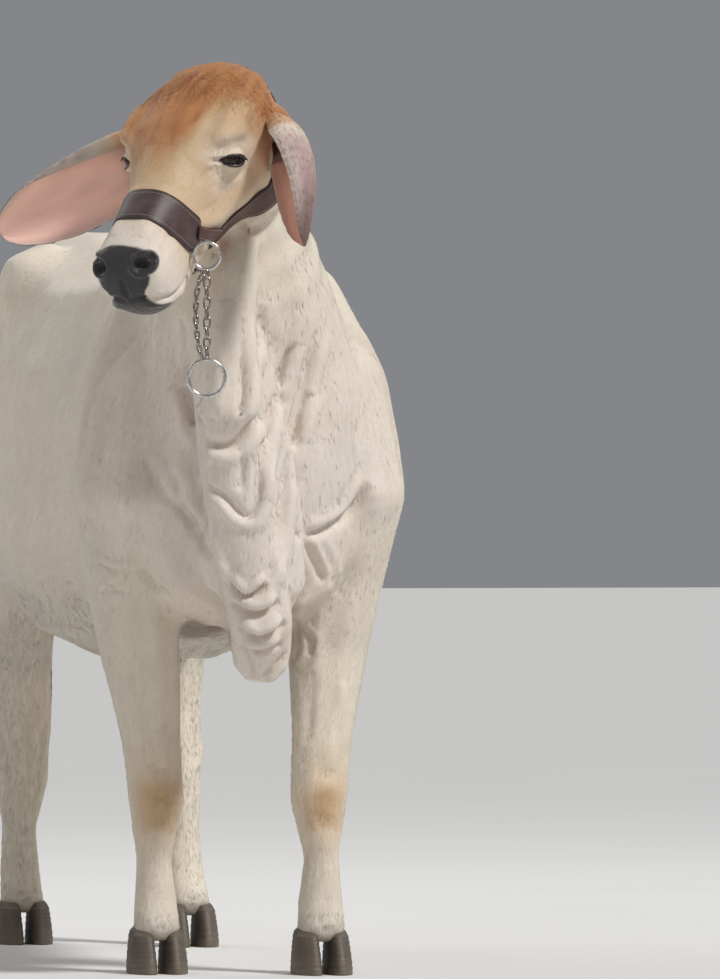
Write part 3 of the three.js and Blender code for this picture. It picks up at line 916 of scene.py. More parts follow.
            corner = bell(np.linalg.norm(spot - mm((73, -242, -36)), axis=1), 0, 0.014)
            face = self._lay(face, self.tan, 0.6 * corner)
        face = self._lay(face, self.charcoal, self.muzzle(h))
        return colour * (1 - inside[:, None]) + face * inside[:, None]

    @staticmethod
    def muzzle(h: np.ndarray) -> np.ndarray:
        """How far each place of the head's frame lies in the dark muzzle, lower lip and chin, whose dark is
        partly the lip's own and partly painted shade.

        Args:
            h: places in the head's frame.

        Returns:
            0 to 1 for each.
        """
        x, y, z = h.T
        wander = 0.002 * noise(h * 60, 8)
        heights = mm([-170, -128, -113, -104, -85, -70, -60, -50, -44])
        widths = mm([60, 30, 35, 44, 51, 55, 53, 44, 34])
        reach = np.interp(z, heights, widths)
        pad = 1 - ease(np.abs(x) + wander, reach - 0.002, reach + 0.002)
        pad = pad * (1 - ease(y + wander, -0.425, -0.420))
        nostril = (np.stack([np.abs(x), y, z], -1) - mm((47, -438, -70))) / (1.2, 1.3, 1)
        pad = np.maximum(pad, 1 - ease(np.linalg.norm(nostril, axis=1) + wander, 0.017, 0.021))
        # the dark lower lip and chin: partly the lip's own dark skin, partly painted shade under the muzzle
        lip_and_chin_shade = (1 - ease(z + wander, -0.158, -0.150)) * (1 - ease(y, -0.41, -0.385))
        return np.maximum(pad, lip_and_chin_shade * (1 - 0.85 * ease(np.abs(x), 0.034, 0.050)))


MARKINGS = Markings()


# Skin


@dataclass(frozen=True)
class Stroke:
    """One sculpting stroke: a path in millimetres, how wide, and how high it raises the skin.

    A lip raises a second ridge beside it, to the path's left where it is positive and to its right where not.
    """

    path: tuple
    width: float
    height: float
    lip: float = 0.0


# Folds of the neck, dewlap and brisket, on an upright plane through the front feet that faces the viewer
FRONT_FOLDS = (
    Stroke(
        ((-288, 959), (-275, 909), (-261, 875), (-238, 860), (-208, 860), (-186, 880), (-158, 917)),
        10, -13, -7,
    ),
    Stroke(((-248, 938), (-264, 932), (-269, 915), (-261, 899), (-250, 896)), 5, -5, 3),
    Stroke(((-188, 1069), (-192, 1004), (-189, 950), (-196, 909)), 9, -9, 4),
    Stroke(((-108, 1030), (-135, 955), (-152, 886), (-160, 834), (-165, 772)), 9, -11, 4),
    Stroke(((-194, 858), (-191, 826), (-196, 788)), 7, -8),
    Stroke(((-246, 793), (-219, 774), (-197, 749), (-178, 744), (-165, 769), (-158, 821)), 8, -9, -6),
    Stroke(((-83, 950), (-106, 880), (-117, 829), (-127, 754), (-139, 679), (-148, 638)), 10, -12, 6),
    Stroke(((-69, 1049), (-88, 981), (-103, 919), (-111, 870)), 10, -9, 5),
    Stroke(((-88, 834), (-101, 780), (-103, 723), (-95, 710)), 9, -9),
    Stroke(((-95, 713), (-59, 723), (-16, 752), (11, 801)), 9, -10, 7),
    Stroke(((-91, 707), (-72, 671), (-59, 638)), 8, -8, 5),
    Stroke(((-69, 707), (-52, 674), (-44, 633)), 7, -4, 3),
    Stroke(((-248, 795), (-240, 729), (-230, 679), (-215, 641)), 9, 8),
    Stroke(((-219, 641), (-191, 615), (-168, 622), (-148, 641)), 7, -13, 8),
    Stroke(((-210, 602), (-176, 588), (-147, 594), (-131, 609)), 7, -14, 9),
    Stroke(((-202, 563), (-166, 547), (-137, 558), (-121, 573)), 7, -14, 9),
    Stroke(((-191, 530), (-160, 524), (-126, 539)), 6, -11, 7),
    Stroke(((-196, 535), (-179, 511), (-173, 480)), 6, -8, 4),
    Stroke(((-119, 526), (-144, 495), (-160, 478)), 6, -8, 4),
    Stroke(((-117, 630), (-109, 579), (-103, 530), (-114, 504)), 8, -9, 5),
    Stroke(((-100, 565), (-78, 543), (-83, 519)), 6, -6, 3),
    Stroke(((-308, 819), (-287, 764), (-263, 710), (-241, 674)), 10, -6, 4),
    Stroke(((-347, 839), (-326, 788), (-287, 752), (-268, 726)), 9, -5, 3),
    Stroke(((-432, 669), (-403, 656), (-369, 659)), 6, -3, 2),
    Stroke(((-423, 615), (-390, 638), (-369, 659)), 6, -4, 2),
    Stroke(((-357, 664), (-338, 635), (-308, 614)), 8, -6, 3),
    Stroke(((-418, 645), (-405, 625), (-382, 622)), 5, -3, 2),
    Stroke(((-219, 1098), (-225, 1025), (-230, 951), (-235, 902)), 16, 6),
    Stroke(((-147, 1098), (-160, 1025), (-173, 951), (-179, 902)), 15, 7),
    Stroke(((-98, 1082), (-113, 1008), (-131, 935), (-144, 853), (-150, 772)), 13, 6),
    Stroke(((-294, 1069), (-284, 1017), (-284, 959)), 10, -7),
)

# Head strokes, drawn on both sides in the head's own frame
FACE_STROKES = (
    Stroke(((60, -250, 0), (84, -214, 0), (100, -176, -10), (108, -140, -30)), 16, 3),
    Stroke(((70, -228, -64), (84, -232, -84), (98, -205, -108), (108, -165, -112)), 10, -1.5, 0),
    Stroke(((62, -262, -50), (70, -240, -42), (76, -226, -44)), 6, -2, 0),
    Stroke(((68, -300, -110), (84, -240, -130), (98, -180, -128), (104, -120, -118)), 16, 5),
    Stroke(((60, -330, -150), (72, -270, -178), (88, -200, -200)), 16, -4, 0),
    Stroke(((96, -150, -175), (94, -90, -190), (80, -40, -180)), 26, 5),
    Stroke(((30, -300, -10), (34, -360, -22), (30, -405, -34)), 14, 3),
    Stroke(((52, -330, -60), (56, -375, -72), (58, -410, -78)), 9, -3, 0),
    Stroke(((18, -230, 10), (20, -150, 36), (16, -80, 40)), 14, 2),
    Stroke(((58, -60, 20), (66, -30, -10), (66, -5, -40)), 16, 4),
    Stroke(
        (
            (0, -460, -128), (26, -458, -124), (48, -442, -138),
            (62, -415, -158), (66, -375, -166), (66, -335, -160),
        ),
        5, -6,
    ),
    Stroke(((20, -456, -140), (44, -436, -152), (58, -405, -174), (60, -365, -184)), 8, 3),
    Stroke(((0, -464, -85), (0, -466, -105), (0, -462, -124)), 4, -4, 0),
    Stroke(((88, -250, -160), (96, -215, -165), (98, -180, -160)), 6, -2, 0),
    Stroke(((70, -285, -95), (84, -262, -100), (94, -236, -98)), 7, -1, 0),
    Stroke(((70, -218, -26), (82, -198, -20), (94, -172, -27), (102, -152, -44)), 8, -1.2, 1),
    Stroke(((78, -214, -76), (92, -196, -86), (104, -172, -86)), 5, -1.5, 1),
)

# Muscles, bones and skin folds of the trunk and thighs, on both sides as [y, z] seen from the side
SIDE_STROKES = (
    Stroke(((-300, 1180), (-330, 1050), (-360, 920), (-330, 800), (-300, 720), (-290, 640)), 26, -11, 0),
    Stroke(((-440, 1120), (-470, 1000), (-490, 880), (-470, 780)), 34, 6),
    Stroke(((-400, 700), (-340, 665), (-300, 640), (-280, 600)), 18, -7, 5),
    Stroke(((-250, 1120), (-215, 980), (-200, 820), (-190, 690)), 19, 1.5),
    Stroke(((-190, 1130), (-150, 980), (-130, 820), (-120, 670)), 19, 1.5),
    Stroke(((-125, 1135), (-85, 980), (-60, 820), (-50, 650)), 19, 1.5),
    Stroke(((-60, 1138), (-18, 980), (10, 820), (20, 640)), 19, 1.5),
    Stroke(((5, 1138), (50, 990), (82, 830), (96, 650)), 19, 1.5),
    Stroke(((75, 1138), (120, 1000), (155, 850), (172, 680)), 19, 1.5),
    Stroke(((230, 1150), (270, 1080), (300, 980), (320, 860)), 48, -4, 0),
    Stroke(((340, 1165), (380, 1175), (415, 1168)), 38, 5),
    Stroke(((250, 720), (330, 700), (400, 650), (440, 610)), 26, -8, 6),
    Stroke(((240, 800), (320, 770), (390, 720)), 20, -3, 2),
    Stroke(((450, 1120), (520, 1010), (560, 900), (570, 780)), 44, -5, 0),
    Stroke(((640, 1130), (690, 1010), (690, 880), (650, 770)), 34, -5, 0),
    Stroke(((480, 620), (540, 560), (590, 520)), 16, -4, 0),
    Stroke(((-560, 1060), (-520, 1000), (-500, 920), (-505, 840)), 14, -6, 4),
)

# Strokes of one foreleg, one hind leg and every pastern, from the middle of the foot, x outwards
FORELEG_STROKES = (
    Stroke(((0, -60, 395), (0, -66, 350)), 12, 3),
    Stroke(((-24, -56, 338), (0, -64, 330), (24, -56, 338)), 8, -3),
    Stroke(((-26, -52, 312), (0, -64, 306), (26, -52, 312)), 15, 4),
    Stroke(((-22, -50, 272), (0, -56, 266), (22, -50, 272)), 10, 3),
    Stroke(((0, -44, 236), (0, -44, 180), (0, -44, 130)), 9, 2),
    Stroke(((-34, 10, 235), (-33, 10, 180), (-33, 12, 130)), 6, -4),
    Stroke(((34, 10, 235), (33, 10, 180), (33, 12, 130)), 6, -4),
    Stroke(((0, 44, 232), (0, 44, 180), (0, 46, 130)), 8, 3),
    Stroke(((40, -20, 480), (46, -18, 420), (44, -14, 370)), 12, 4),
    Stroke(((-40, -24, 500), (-40, -18, 430), (-38, -14, 380)), 10, -4),
    Stroke(((0, 62, 330), (0, 54, 300)), 12, 4),
)
HIND_LEG_STROKES = (
    Stroke(((-20, 116, 470), (0, 140, 478), (20, 116, 470)), 14, 6),
    Stroke(((0, 120, 445), (0, 96, 380), (0, 70, 300), (0, 56, 230)), 10, 4),
    Stroke(((-42, 60, 470), (-44, 50, 400), (-38, 36, 330), (-34, 26, 250), (-33, 18, 170)), 9, -6),
    Stroke(((42, 60, 470), (44, 50, 400), (38, 36, 330), (34, 26, 250), (33, 18, 170)), 9, -6),
    Stroke(((0, 20, 400), (0, 8, 340), (0, 0, 280)), 12, 3),
    Stroke(((-44, 90, 560), (-40, 100, 520), (-34, 110, 480)), 12, -6),
    Stroke(((44, 90, 560), (40, 100, 520), (34, 110, 480)), 12, -6),
)
PASTERN_STROKES = (
    Stroke(((-34, -34, 101), (0, -46, 100), (34, -34, 101)), 7, -2.5),
    Stroke(((0, -50, 84), (0, -52, 68)), 6, -5),
)


class Hide:
    """The one skin over all the flesh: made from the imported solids, smoothed, refined and sculpted."""

    FLESH = ("head", "neck", "hump", "dewlap", "trunk", "tail")
    VOXEL = 0.008
    CLOSE_CUTS = 0.0016
    COAT_DEPTH = 0.0028
    HOOF_TOP = 0.064
    SKIN_END = 0.050
    BRISKET = ((0.056, -0.558, 0.600), 0.036)
    NEAR = 0.05
    GAP = 0.02
    JUMP = 0.035
    SHORTEST = 0.045
    SOCKET = 0.0155

    def __init__(self) -> None:
        """Builds the mesh and keeps it in self.mesh."""
        legs = [f"leg_{foot}_{part}" for foot in FEET for part in ("upper", "lower")]
        self.nodes = [*self.FLESH, *legs]
        self.mesh = self._remeshed()
        self._smooth()
        self._refine()
        self._lower(self.CLOSE_CUTS + self.COAT_DEPTH)
        self._sculpt()

    def _flesh(self) -> Shape:
        """All flesh solids swollen enough to close the cuts between them, with sockets and brisket filled."""
        parts = []
        for name in self.nodes:
            work = bmesh.new()
            work.from_mesh(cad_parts[name].data)
            bmesh.ops.remove_doubles(work, verts=work.verts, dist=1e-5)
            bmesh.ops.triangulate(work, faces=work.faces)
            work.normal_update()
            points = np.array([v.co + v.normal * self.CLOSE_CUTS for v in work.verts])
            points[:, 2] = np.where(points[:, 2] < self.HOOF_TOP, self.SKIN_END, points[:, 2])
            parts.append(Shape(points, np.array([[v.index for v in f.verts] for f in work.faces])))
            work.free()
        fills = [(np.array(STANCE.eye) * (side.value, 1, 1), STANCE.eye_radius + 0.001) for side in Side]
        for shape in EARS:
            fills += shape.root_balls()
        parts += [ball(HEAD.world(at), radius) for at, radius in fills]
        parts.append(ball(np.array(self.BRISKET[0]), self.BRISKET[1]))
        return Shape.joined(parts)

    def _remeshed(self) -> bpy.types.Mesh:
        """The flesh as one mesh of even quads."""
        flesh = self._flesh()
        self.flesh = BVHTree.FromPolygons(flesh.points.tolist(), flesh.faces.tolist())
        body = flesh.build("flesh", None, None)
        remesh = body.modifiers.new("even", "REMESH")
        remesh.mode = "VOXEL"
        remesh.voxel_size = self.VOXEL
        evaluated = body.evaluated_get(bpy.context.evaluated_depsgraph_get())
        mesh = bpy.data.meshes.new_from_object(evaluated)
        bpy.data.objects.remove(body)
        return mesh

    @property
    def points(self) -> np.ndarray:
        """The mesh's points."""
        rows = np.empty(len(self.mesh.vertices) * 3, np.float32)
        self.mesh.vertices.foreach_get("co", rows)
        return rows.reshape(-1, 3).astype(float)

    @points.setter
    def points(self, rows: np.ndarray) -> None:
        """Moves the mesh's points."""
        self.mesh.vertices.foreach_set("co", rows.astype(np.float32).ravel())
        self.mesh.update()

    @property
    def normals(self) -> np.ndarray:
        """The mesh's normals at its points."""
        rows = np.empty(len(self.mesh.vertices) * 3, np.float32)
        self.mesh.vertex_normals.foreach_get("vector", rows)
        return rows.reshape(-1, 3).astype(float)

    def _relax(self, weight: np.ndarray, rounds: int, pull: float = 0.5, push: float = -0.53) -> None:
        """Smooths without shrinking.

        Args:
            weight: how strongly each point takes part.
            rounds: how many pairs of passes.
            pull: the smoothing pass.
            push: the pass that swells it back.
        """
        average = self._averager()
        rows = self.points
        for _ in range(rounds):
            for share in (pull, push):
                near = np.array([average(rows[:, k]) for k in range(3)]).T
                rows = rows + (share * weight)[:, None] * (near - rows)
        self.points = rows

    def _averager(self) -> Callable[[np.ndarray], np.ndarray]:
        """A function that takes a value for each point and gives the mean of its neighbours' values."""
        edges = np.empty(len(self.mesh.edges) * 2, np.int32)
        self.mesh.edges.foreach_get("vertices", edges)
        a, b = edges.reshape(-1, 2).T
        count = len(self.mesh.vertices)
        degree = np.bincount(a, minlength=count) + np.bincount(b, minlength=count)
        return lambda values: (np.bincount(a, values[b], count) + np.bincount(b, values[a], count)) / degree

    def _restore(self, broad: np.ndarray) -> None:
        """Swells the smoothed skin back to the flesh by the mean gap round each point.

        Args:
            broad: 1 where the gap is averaged over a wide stretch, 0 where over a small one.
        """
        rows, normals = self.points, self.normals
        near = [self.flesh.find_nearest(Vector(row), self.NEAR)[0] for row in rows]
        hits = np.array([row if hit is None else hit for row, hit in zip(rows, near)])
        gaps = np.clip(((hits - rows) * normals).sum(1), -self.GAP, self.GAP)
        average = self._averager()
        for _ in range(55):
            gaps = average(gaps)
        wide = gaps
        for _ in range(240):
            wide = average(wide)
        gaps = gaps * (1 - broad) + wide * broad
        self.points = rows + normals * gaps[:, None]

    def _smooth(self) -> None:
        """Rounds off the solids' facets, most on the broad trunk and neck."""
        rows = self.points
        everywhere = np.ones(len(rows))
        self._relax(everywhere, 14)
        h = HEAD.local(rows)
        beyond = ease(np.linalg.norm(h - (0, -0.2, -0.1), axis=1), 0.26, 0.36)
        nape = ease(h[:, 1], -0.02, 0.015) * ease(-h[:, 2], 0.03, 0.08)
        broad = ease(rows[:, 2], 0.55, 0.75) * np.maximum(beyond, nape)
        slim = ease(rows[:, 1], 0.84, 0.87)
        self._relax(broad * (1 - slim), 260, 0.65, -0.657)
        bridge = ease(h[:, 1], -0.44, -0.40) * (1 - ease(h[:, 1], -0.26, -0.20)) * ease(h[:, 2], -0.17, -0.12)
        self._relax(bridge * (np.abs(h[:, 0]) < 0.12), 60, 0.65, -0.66)
        for _ in range(2):
            self._restore(broad)
        self._relax(everywhere * 0.8, 10)

    def _split(self, chosen: np.ndarray) -> None:
        """Splits each face that has all its points among the chosen ones into four."""
        work = bmesh.new()
        work.from_mesh(self.mesh)
        edges = [e for e in work.edges if chosen[e.verts[0].index] and chosen[e.verts[1].index]]
        bmesh.ops.subdivide_edges(work, edges=edges, cuts=1, use_grid_fill=True)
        work.to_mesh(self.mesh)
        work.free()

    def _refine(self) -> None:
        """Gives the head, neck and dewlap finer faces than the trunk."""
        rows = self.points
        self._split((rows[:, 1] < -0.33) & (rows[:, 2] > 0.40))
        rows = self.points
        h = HEAD.local(rows)
        self._split((h[:, 1] < 0.02) & (h[:, 1] > -0.5) & (np.abs(h[:, 0]) < 0.2) & (h[:, 2] > -0.30))
        fine = (self.points[:, 1] < -0.33).astype(float)
        self._relax(fine, 8)

    def _lower(self, depth: float) -> None:
        """Moves the skin inwards."""
        self.points = self.points - self.normals * depth

    def tree(self) -> BVHTree:
        """A search tree over the skin as it is now."""
        work = bmesh.new()
        work.from_mesh(self.mesh)
        found = BVHTree.FromBMesh(work)
        work.free()
        return found

    def _sculpt(self) -> None:
        """Folds, muscles, face and the small unevenness of live skin."""
        self._wrinkle()
        self._strokes(SIDE_STROKES, self._from_side)
        self._legs()
        self._strokes(FRONT_FOLDS, self._from_front, PICTURE.turned((0, 0, 1)))
        self._relax(ease(-self.points[:, 1], 0.30, 0.36), 2)
        self._strokes(FACE_STROKES, self._on_head)
        self._nostrils()
        for seat in (EyeSeat(side) for side in Side):
            self._seat_eye(seat)
            local = seat.place.local(self.points)
            outside = ease(seat.margin(local[:, 0], local[:, 1]), 1.2, 1.7) * (local[:, 2] > 0)
            self._relax(outside * (1 - ease(np.linalg.norm(local, axis=1), 0.050, 0.080)), 14)

    def _raise(
        self, path: np.ndarray, width: float, height: float, towards: np.ndarray | None = None
    ) -> None:
        """Raises or lowers the skin along a path.

        Args:
            path: points on the skin.
            width: half-width of the stroke.
            height: how far it raises the skin.
            towards: a direction, where the stroke fades on skin that turns away from it.
        """
        rows = self.points
        low, high = path.min(0) - 3 * width, path.max(0) + 3 * width
        near = np.all((rows > low) & (rows < high), axis=1).nonzero()[0]
        if not len(near):
            return
        gap, share = distance_to(rows[near], path)
        ends = np.sqrt(np.clip(np.minimum(share, 1 - share) * 5, 0, 1))
        lift = height * np.exp(-((gap / width) ** 2)) * ends
        if towards is not None:
            lift = lift * ease(self.normals[near] @ towards, 0.05, 0.40)
        rows[near] += self.normals[near] * lift[:, None]
        self.points = rows

    def _strokes(self, strokes: tuple, find: Callable, towards: np.ndarray | None = None) -> None:
        """Draws strokes.

        Args:
            strokes: the strokes.
            find: turns a stroke's path into paths on the skin, with the search tree.
            towards: a direction, where the strokes fade on skin that turns away from it.
        """
        tree = self.tree()
        for stroke in strokes:
            plain = np.array(stroke.path, float)
            for path in find(tree, plain):
                self._raise(path, stroke.width * MM, stroke.height * MM, towards)
            if stroke.lip and plain.shape[1] == 2:
                run = unit(np.gradient(plain, axis=0))
                left = np.stack([-run[:, 1], run[:, 0]], -1) * math.copysign(1.7 * stroke.width, stroke.lip)
                for path in find(tree, plain + left):
                    self._raise(path, stroke.width * 1.3 * MM, abs(stroke.lip) * MM, towards)
            elif stroke.lip:
                for path in find(tree, plain + (0, 0, 1.7 * stroke.width)):
                    self._raise(path, stroke.width * 1.3 * MM, stroke.lip * MM)

    def _from_front(self, tree: BVHTree, path: np.ndarray) -> list[np.ndarray]:
        """A path of the front plane thrown onto the skin from the viewer."""
        found = []
        for u, v in through(path * MM, 6 * len(path)):
            out = PICTURE.turned(np.array([u, v - STANCE.viewer[2], -STANCE.view_distance]))
            hit = tree.ray_cast(Vector(PICTURE.origin), Vector(out).normalized())[0]
            if hit is not None:
                found.append(np.array(hit))
        return self._unbroken(found)

    def _from_side(self, tree: BVHTree, path: np.ndarray) -> list[np.ndarray]:
        """A path seen from the side thrown onto both sides of the skin."""
        paths = []
        for side in Side:
            found = []
            for y, z in through(path * MM, 6 * len(path)):
                start = Vector((side.value, y + STANCE.shift[1], z))
                hit = tree.ray_cast(start, Vector((-side.value, 0, 0)))[0]
                if hit is not None:
                    found.append(np.array(hit))
            paths += self._unbroken(found)
        return paths

    def _on_head(self, tree: BVHTree, path: np.ndarray) -> list[np.ndarray]:
        """A path of the head's frame laid on the nearest skin, on both sides."""
        paths = []
        for side in Side:
            rows = HEAD.world(through(path * MM * (side.value, 1, 1), 5 * len(path)))
            paths.append(np.array([tree.find_nearest(Vector(row))[0] for row in rows]))
        return paths

    def _unbroken(self, found: list) -> list[np.ndarray]:
        """The found points parted where the path jumps from one surface to another."""
        paths, run = [], []
        for point in found:
            if run and np.linalg.norm(point - run[-1]) > self.JUMP:
                paths.append(np.array(run))
                run = []
            run.append(point)
        paths.append(np.array(run))
        return [softened(path, 4) for path in paths if lengths(path)[-1] > self.SHORTEST]

    def _wrinkle(self) -> None:
        """Loose upright folds on the sides of the neck, soft unevenness all over."""
        rows = self.points
        x, y, z = rows.T
        neck = ease(z, 0.55, 0.68) * (1 - ease(z, 1.02, 1.14))
        neck *= (1 - ease(y, -0.56, -0.44)) * ease(y, -0.87, -0.80)
        wander = noise(rows * (6, 6, 3), 11) * 2.2
        waves = np.sin((y + 0.25 * z) * 2 * math.pi / 0.075 + wander)
        lean = noise(rows * (14, 14, 9), 12)
        away = 1 - 0.75 * ease(x, -0.02, 0.06)
        lift = neck * away * 0.0045 * waves + 0.0016 * lean
        crest = (1 - ease(y, -0.60, -0.5)) * ease(y, -0.85, -0.75) * bell(z, 1.2, 0.09)
        lift += 0.002 * crest * np.sin((z - 0.9 * y) * 2 * math.pi / 0.06 + wander)
        self.points = rows + self.normals * lift[:, None]

    def _legs(self) -> None:
        """Tendons, knee bones, hock points and cannon grooves."""
        tree = self.tree()
        for foot, at in FEET.items():
            strokes = FORELEG_STROKES if foot.startswith("front") else HIND_LEG_STROKES
            for stroke in strokes + PASTERN_STROKES:
                rows = mm(stroke.path) * (np.sign(at[0]), 1, 1) + (at[0], at[1], 0)
                rows = through(rows, 5 * len(rows))
                rows = np.array([tree.find_nearest(Vector(row))[0] for row in rows])
                self._raise(rows, stroke.width * MM, stroke.height * MM)

    def _nostrils(self) -> None:
        """Comma-shaped nostrils with a raised wing."""
        rows = self.points
        h = HEAD.local(rows)
        lift = np.zeros(len(rows))
        for side in Side:
            at = h * (side.value, 1, 1) - mm((40, -446, -72))
            tail = h * (side.value, 1, 1) - mm((55, -430, -68))
            hollow = np.linalg.norm(at / mm((14, 22, 11)), axis=1)
            slit = np.linalg.norm(tail / mm((10, 16, 5.5)), axis=1)
            depth = np.maximum(1 - hollow**2, 0) ** 0.6 * 0.017
            depth = np.maximum(depth, np.maximum(1 - slit**2, 0) ** 0.6 * 0.009)
            rim = bell(hollow, 1.42, 0.36) * 0.0045 * ease(slit, 0.9, 1.5)
            lift += rim * ease(hollow, 0.95, 1.2) - depth
        self.points = rows + self.normals * lift[:, None]

    def _seat_eye(self, seat: "EyeSeat") -> None:
        """Opens the skin over the eyeball and thickens it into lids."""
        rows = self.points
        local = seat.place.local(rows)
        reach = np.linalg.norm(local, axis=1)
        near = (reach < 0.045) & (local[:, 2] > -0.004)
        spot, far = local[near], reach[near]
        along, up = spot[:, 0] / far * seat.lid_radius, spot[:, 1] / far * seat.lid_radius
        inside = seat.margin(along, up)
        blend = 1 - ease(far, 0.026, 0.042)
        lid = seat.lid_radius + 0.0016 * bell(inside, 1.25, 0.25)
        shut = ease(inside, 0.90, 1.02)
        goal = np.where(inside < 0.96, self.SOCKET, lid * shut + self.SOCKET * (1 - shut))
        cover = np.where(inside < 1.9, 1.0, blend) * ease(spot[:, 2], -0.004, 0.006)
        around = np.maximum(far * (1 - cover) + goal * cover, goal * blend + far * (1 - blend))
        wanted = np.where(inside < 1.05, goal, around)
        ridge = np.maximum(wanted, np.where(inside > 1.0, np.minimum(far, 0.034), 0))
        spot = spot / far[:, None] * ridge[:, None]
        local[near] = spot
        rows[near] = seat.place.world(spot)
        self.points = rows

    def finish(self, material: Material) -> None:
        """Colours the skin and makes it the piece that stands for all flesh nodes."""
        rows = self.points
        shape = Shape(rows, np.zeros((0, 3), int), MARKINGS(rows), lie_coordinates(rows))
        shape.carry(self.mesh)
        self.mesh.polygons.foreach_set("use_smooth", np.ones(len(self.mesh.polygons), bool))
        self.mesh.materials.clear()
        self.mesh.materials.append(material)
        piece = bpy.data.objects.new("skin", self.mesh)
        bpy.context.scene.collection.objects.link(piece)
        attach(piece, BODY)
        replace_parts(piece, *self.nodes)


def ball(centre: np.ndarray, radius: float, around: int = 20, high: int = 12) -> Shape:
    """A closed ball of triangles."""
    turn = np.linspace(0, 2 * math.pi, around, endpoint=False)
    fall = np.linspace(0, math.pi, high + 2)[1:-1]
    ring = np.stack([np.cos(turn), np.sin(turn), np.zeros(around)], -1)
    rows = np.sin(fall)[:, None, None] * ring[None] - np.cos(fall)[:, None, None] * np.array((0, 0, 1.0))
    return tidied(lattice(centre + rows * radius))


def lie_of(points: np.ndarray) -> np.ndarray:
    """The way the hair lies at each place, not yet laid along the skin."""
    x, y, z = points.T
    h = HEAD.local(points)
    head = head_share(points)
    leg = 1 - ease(z, 0.50, 0.72)
    neck = (1 - ease(y, -0.50, -0.35)) * ease(z, 0.55, 0.7)
    flow = np.stack([np.zeros_like(x), np.ones_like(x), -0.55 - 0.5 * (1 - ease(z, 0.6, 1.0))], -1)
    flow = flow * (1 - neck[:, None]) + np.array((0.1, 0.45, -1.0)) * neck[:, None]
    flow = flow * (1 - leg[:, None]) + np.array((0, 0.15, -1.0)) * leg[:, None]
    outward = np.stack([np.sign(h[:, 0]) * 0.35, np.full(len(h), -1.0), -0.25 * np.ones(len(h))], -1)
    back = ease(h[:, 1], -0.10, -0.03)[:, None]
    outward = outward * (1 - back) + np.array((0, 1.0, -0.5)) * back
    flow = flow * (1 - head[:, None]) + HEAD.turned(outward) * head[:, None]
    return unit(flow)


def head_share(points: np.ndarray) -> np.ndarray:
    """1 on the head, 0 on the body, soft between."""
    h = HEAD.local(points)
    within = 1 - ease(np.abs(h[:, 0]), 0.18, 0.26)
    return (1 - ease(h[:, 1], -0.03, 0.06)) * ease(h[:, 2], -0.32, -0.24) * within


def lie_coordinates(points: np.ndarray) -> np.ndarray:
    """Coordinates whose first axis runs along the hair, for the streaks in the finish."""
    x, y, z = points.T
    h = HEAD.local(points)
    head = head_share(points)[:, None]
    leg = (1 - ease(z, 0.50, 0.72))[:, None]
    neck = ((1 - ease(y, -0.50, -0.35)) * ease(z, 0.55, 0.7))[:, None]
    trunk = np.stack([y * 0.87 - z * 0.5, x, z * 0.87 + y * 0.5], -1)
    slope = np.stack([-z * 0.91 + y * 0.41, x, y * 0.91 + z * 0.41], -1)
    upright = np.stack([-z, x, y], -1)
    face = np.stack([-h[:, 1], h[:, 0], h[:, 2]], -1)
    rows = trunk * (1 - neck) + slope * neck
    rows = rows * (1 - leg) + upright * leg
    return rows * (1 - head) + face * head


# Eyes


class EyeSeat:
    """Where an eye looks and the outline of its lids."""

    OUT = (0.830, -0.519, 0.207)
    ALONG = (0.547, 0.680, -0.488)
    HALF_LENGTH = 0.0205
    UPPER = 0.0092
    LOWER = 0.0088

    def __init__(self, side: Side) -> None:
        """Works out the eye's frame: along the lids, up and outwards."""
        self.side = side
        mirror = np.array((side.value, 1, 1))
        out = HEAD.turned(np.array(self.OUT) * mirror)
        along = HEAD.turned(np.array(self.ALONG) * mirror)
        out = out / np.linalg.norm(out)
        along = along - out * (along @ out)
        along = along / np.linalg.norm(along)
        up = np.cross(out, along) * side.value
        self.centre = HEAD.world(np.array(STANCE.eye) * mirror)
        self.place = Place(self.centre, np.array([along, up, out]).T)
        self.lid_radius = STANCE.eye_radius + 0.0026

    def margin(self, along: np.ndarray, up: np.ndarray) -> np.ndarray:
        """1 on the lids' edge, less inside the opening, more outside."""
        tall = np.where(up > 0, self.UPPER, self.LOWER)
        return np.sqrt((along / self.HALF_LENGTH) ** 2 + (up / tall) ** 2)

    def edge(self, turn: np.ndarray, radius: float) -> np.ndarray:
        """Places on the lids' edge.

        Args:
            turn: angles round the opening.
            radius: distance from the middle of the eyeball.

        Returns:
            World places.
        """
        across = np.cos(turn) * self.HALF_LENGTH
        tall = np.where(np.sin(turn) > 0, self.UPPER, self.LOWER)
        up = np.sin(turn) * tall
        scale = radius / self.lid_radius
        across, up = across * scale, up * scale
        out = np.sqrt(np.maximum(radius**2 - across**2 - up**2, 0))
        return self.place.world(np.stack([across, up, out], -1))


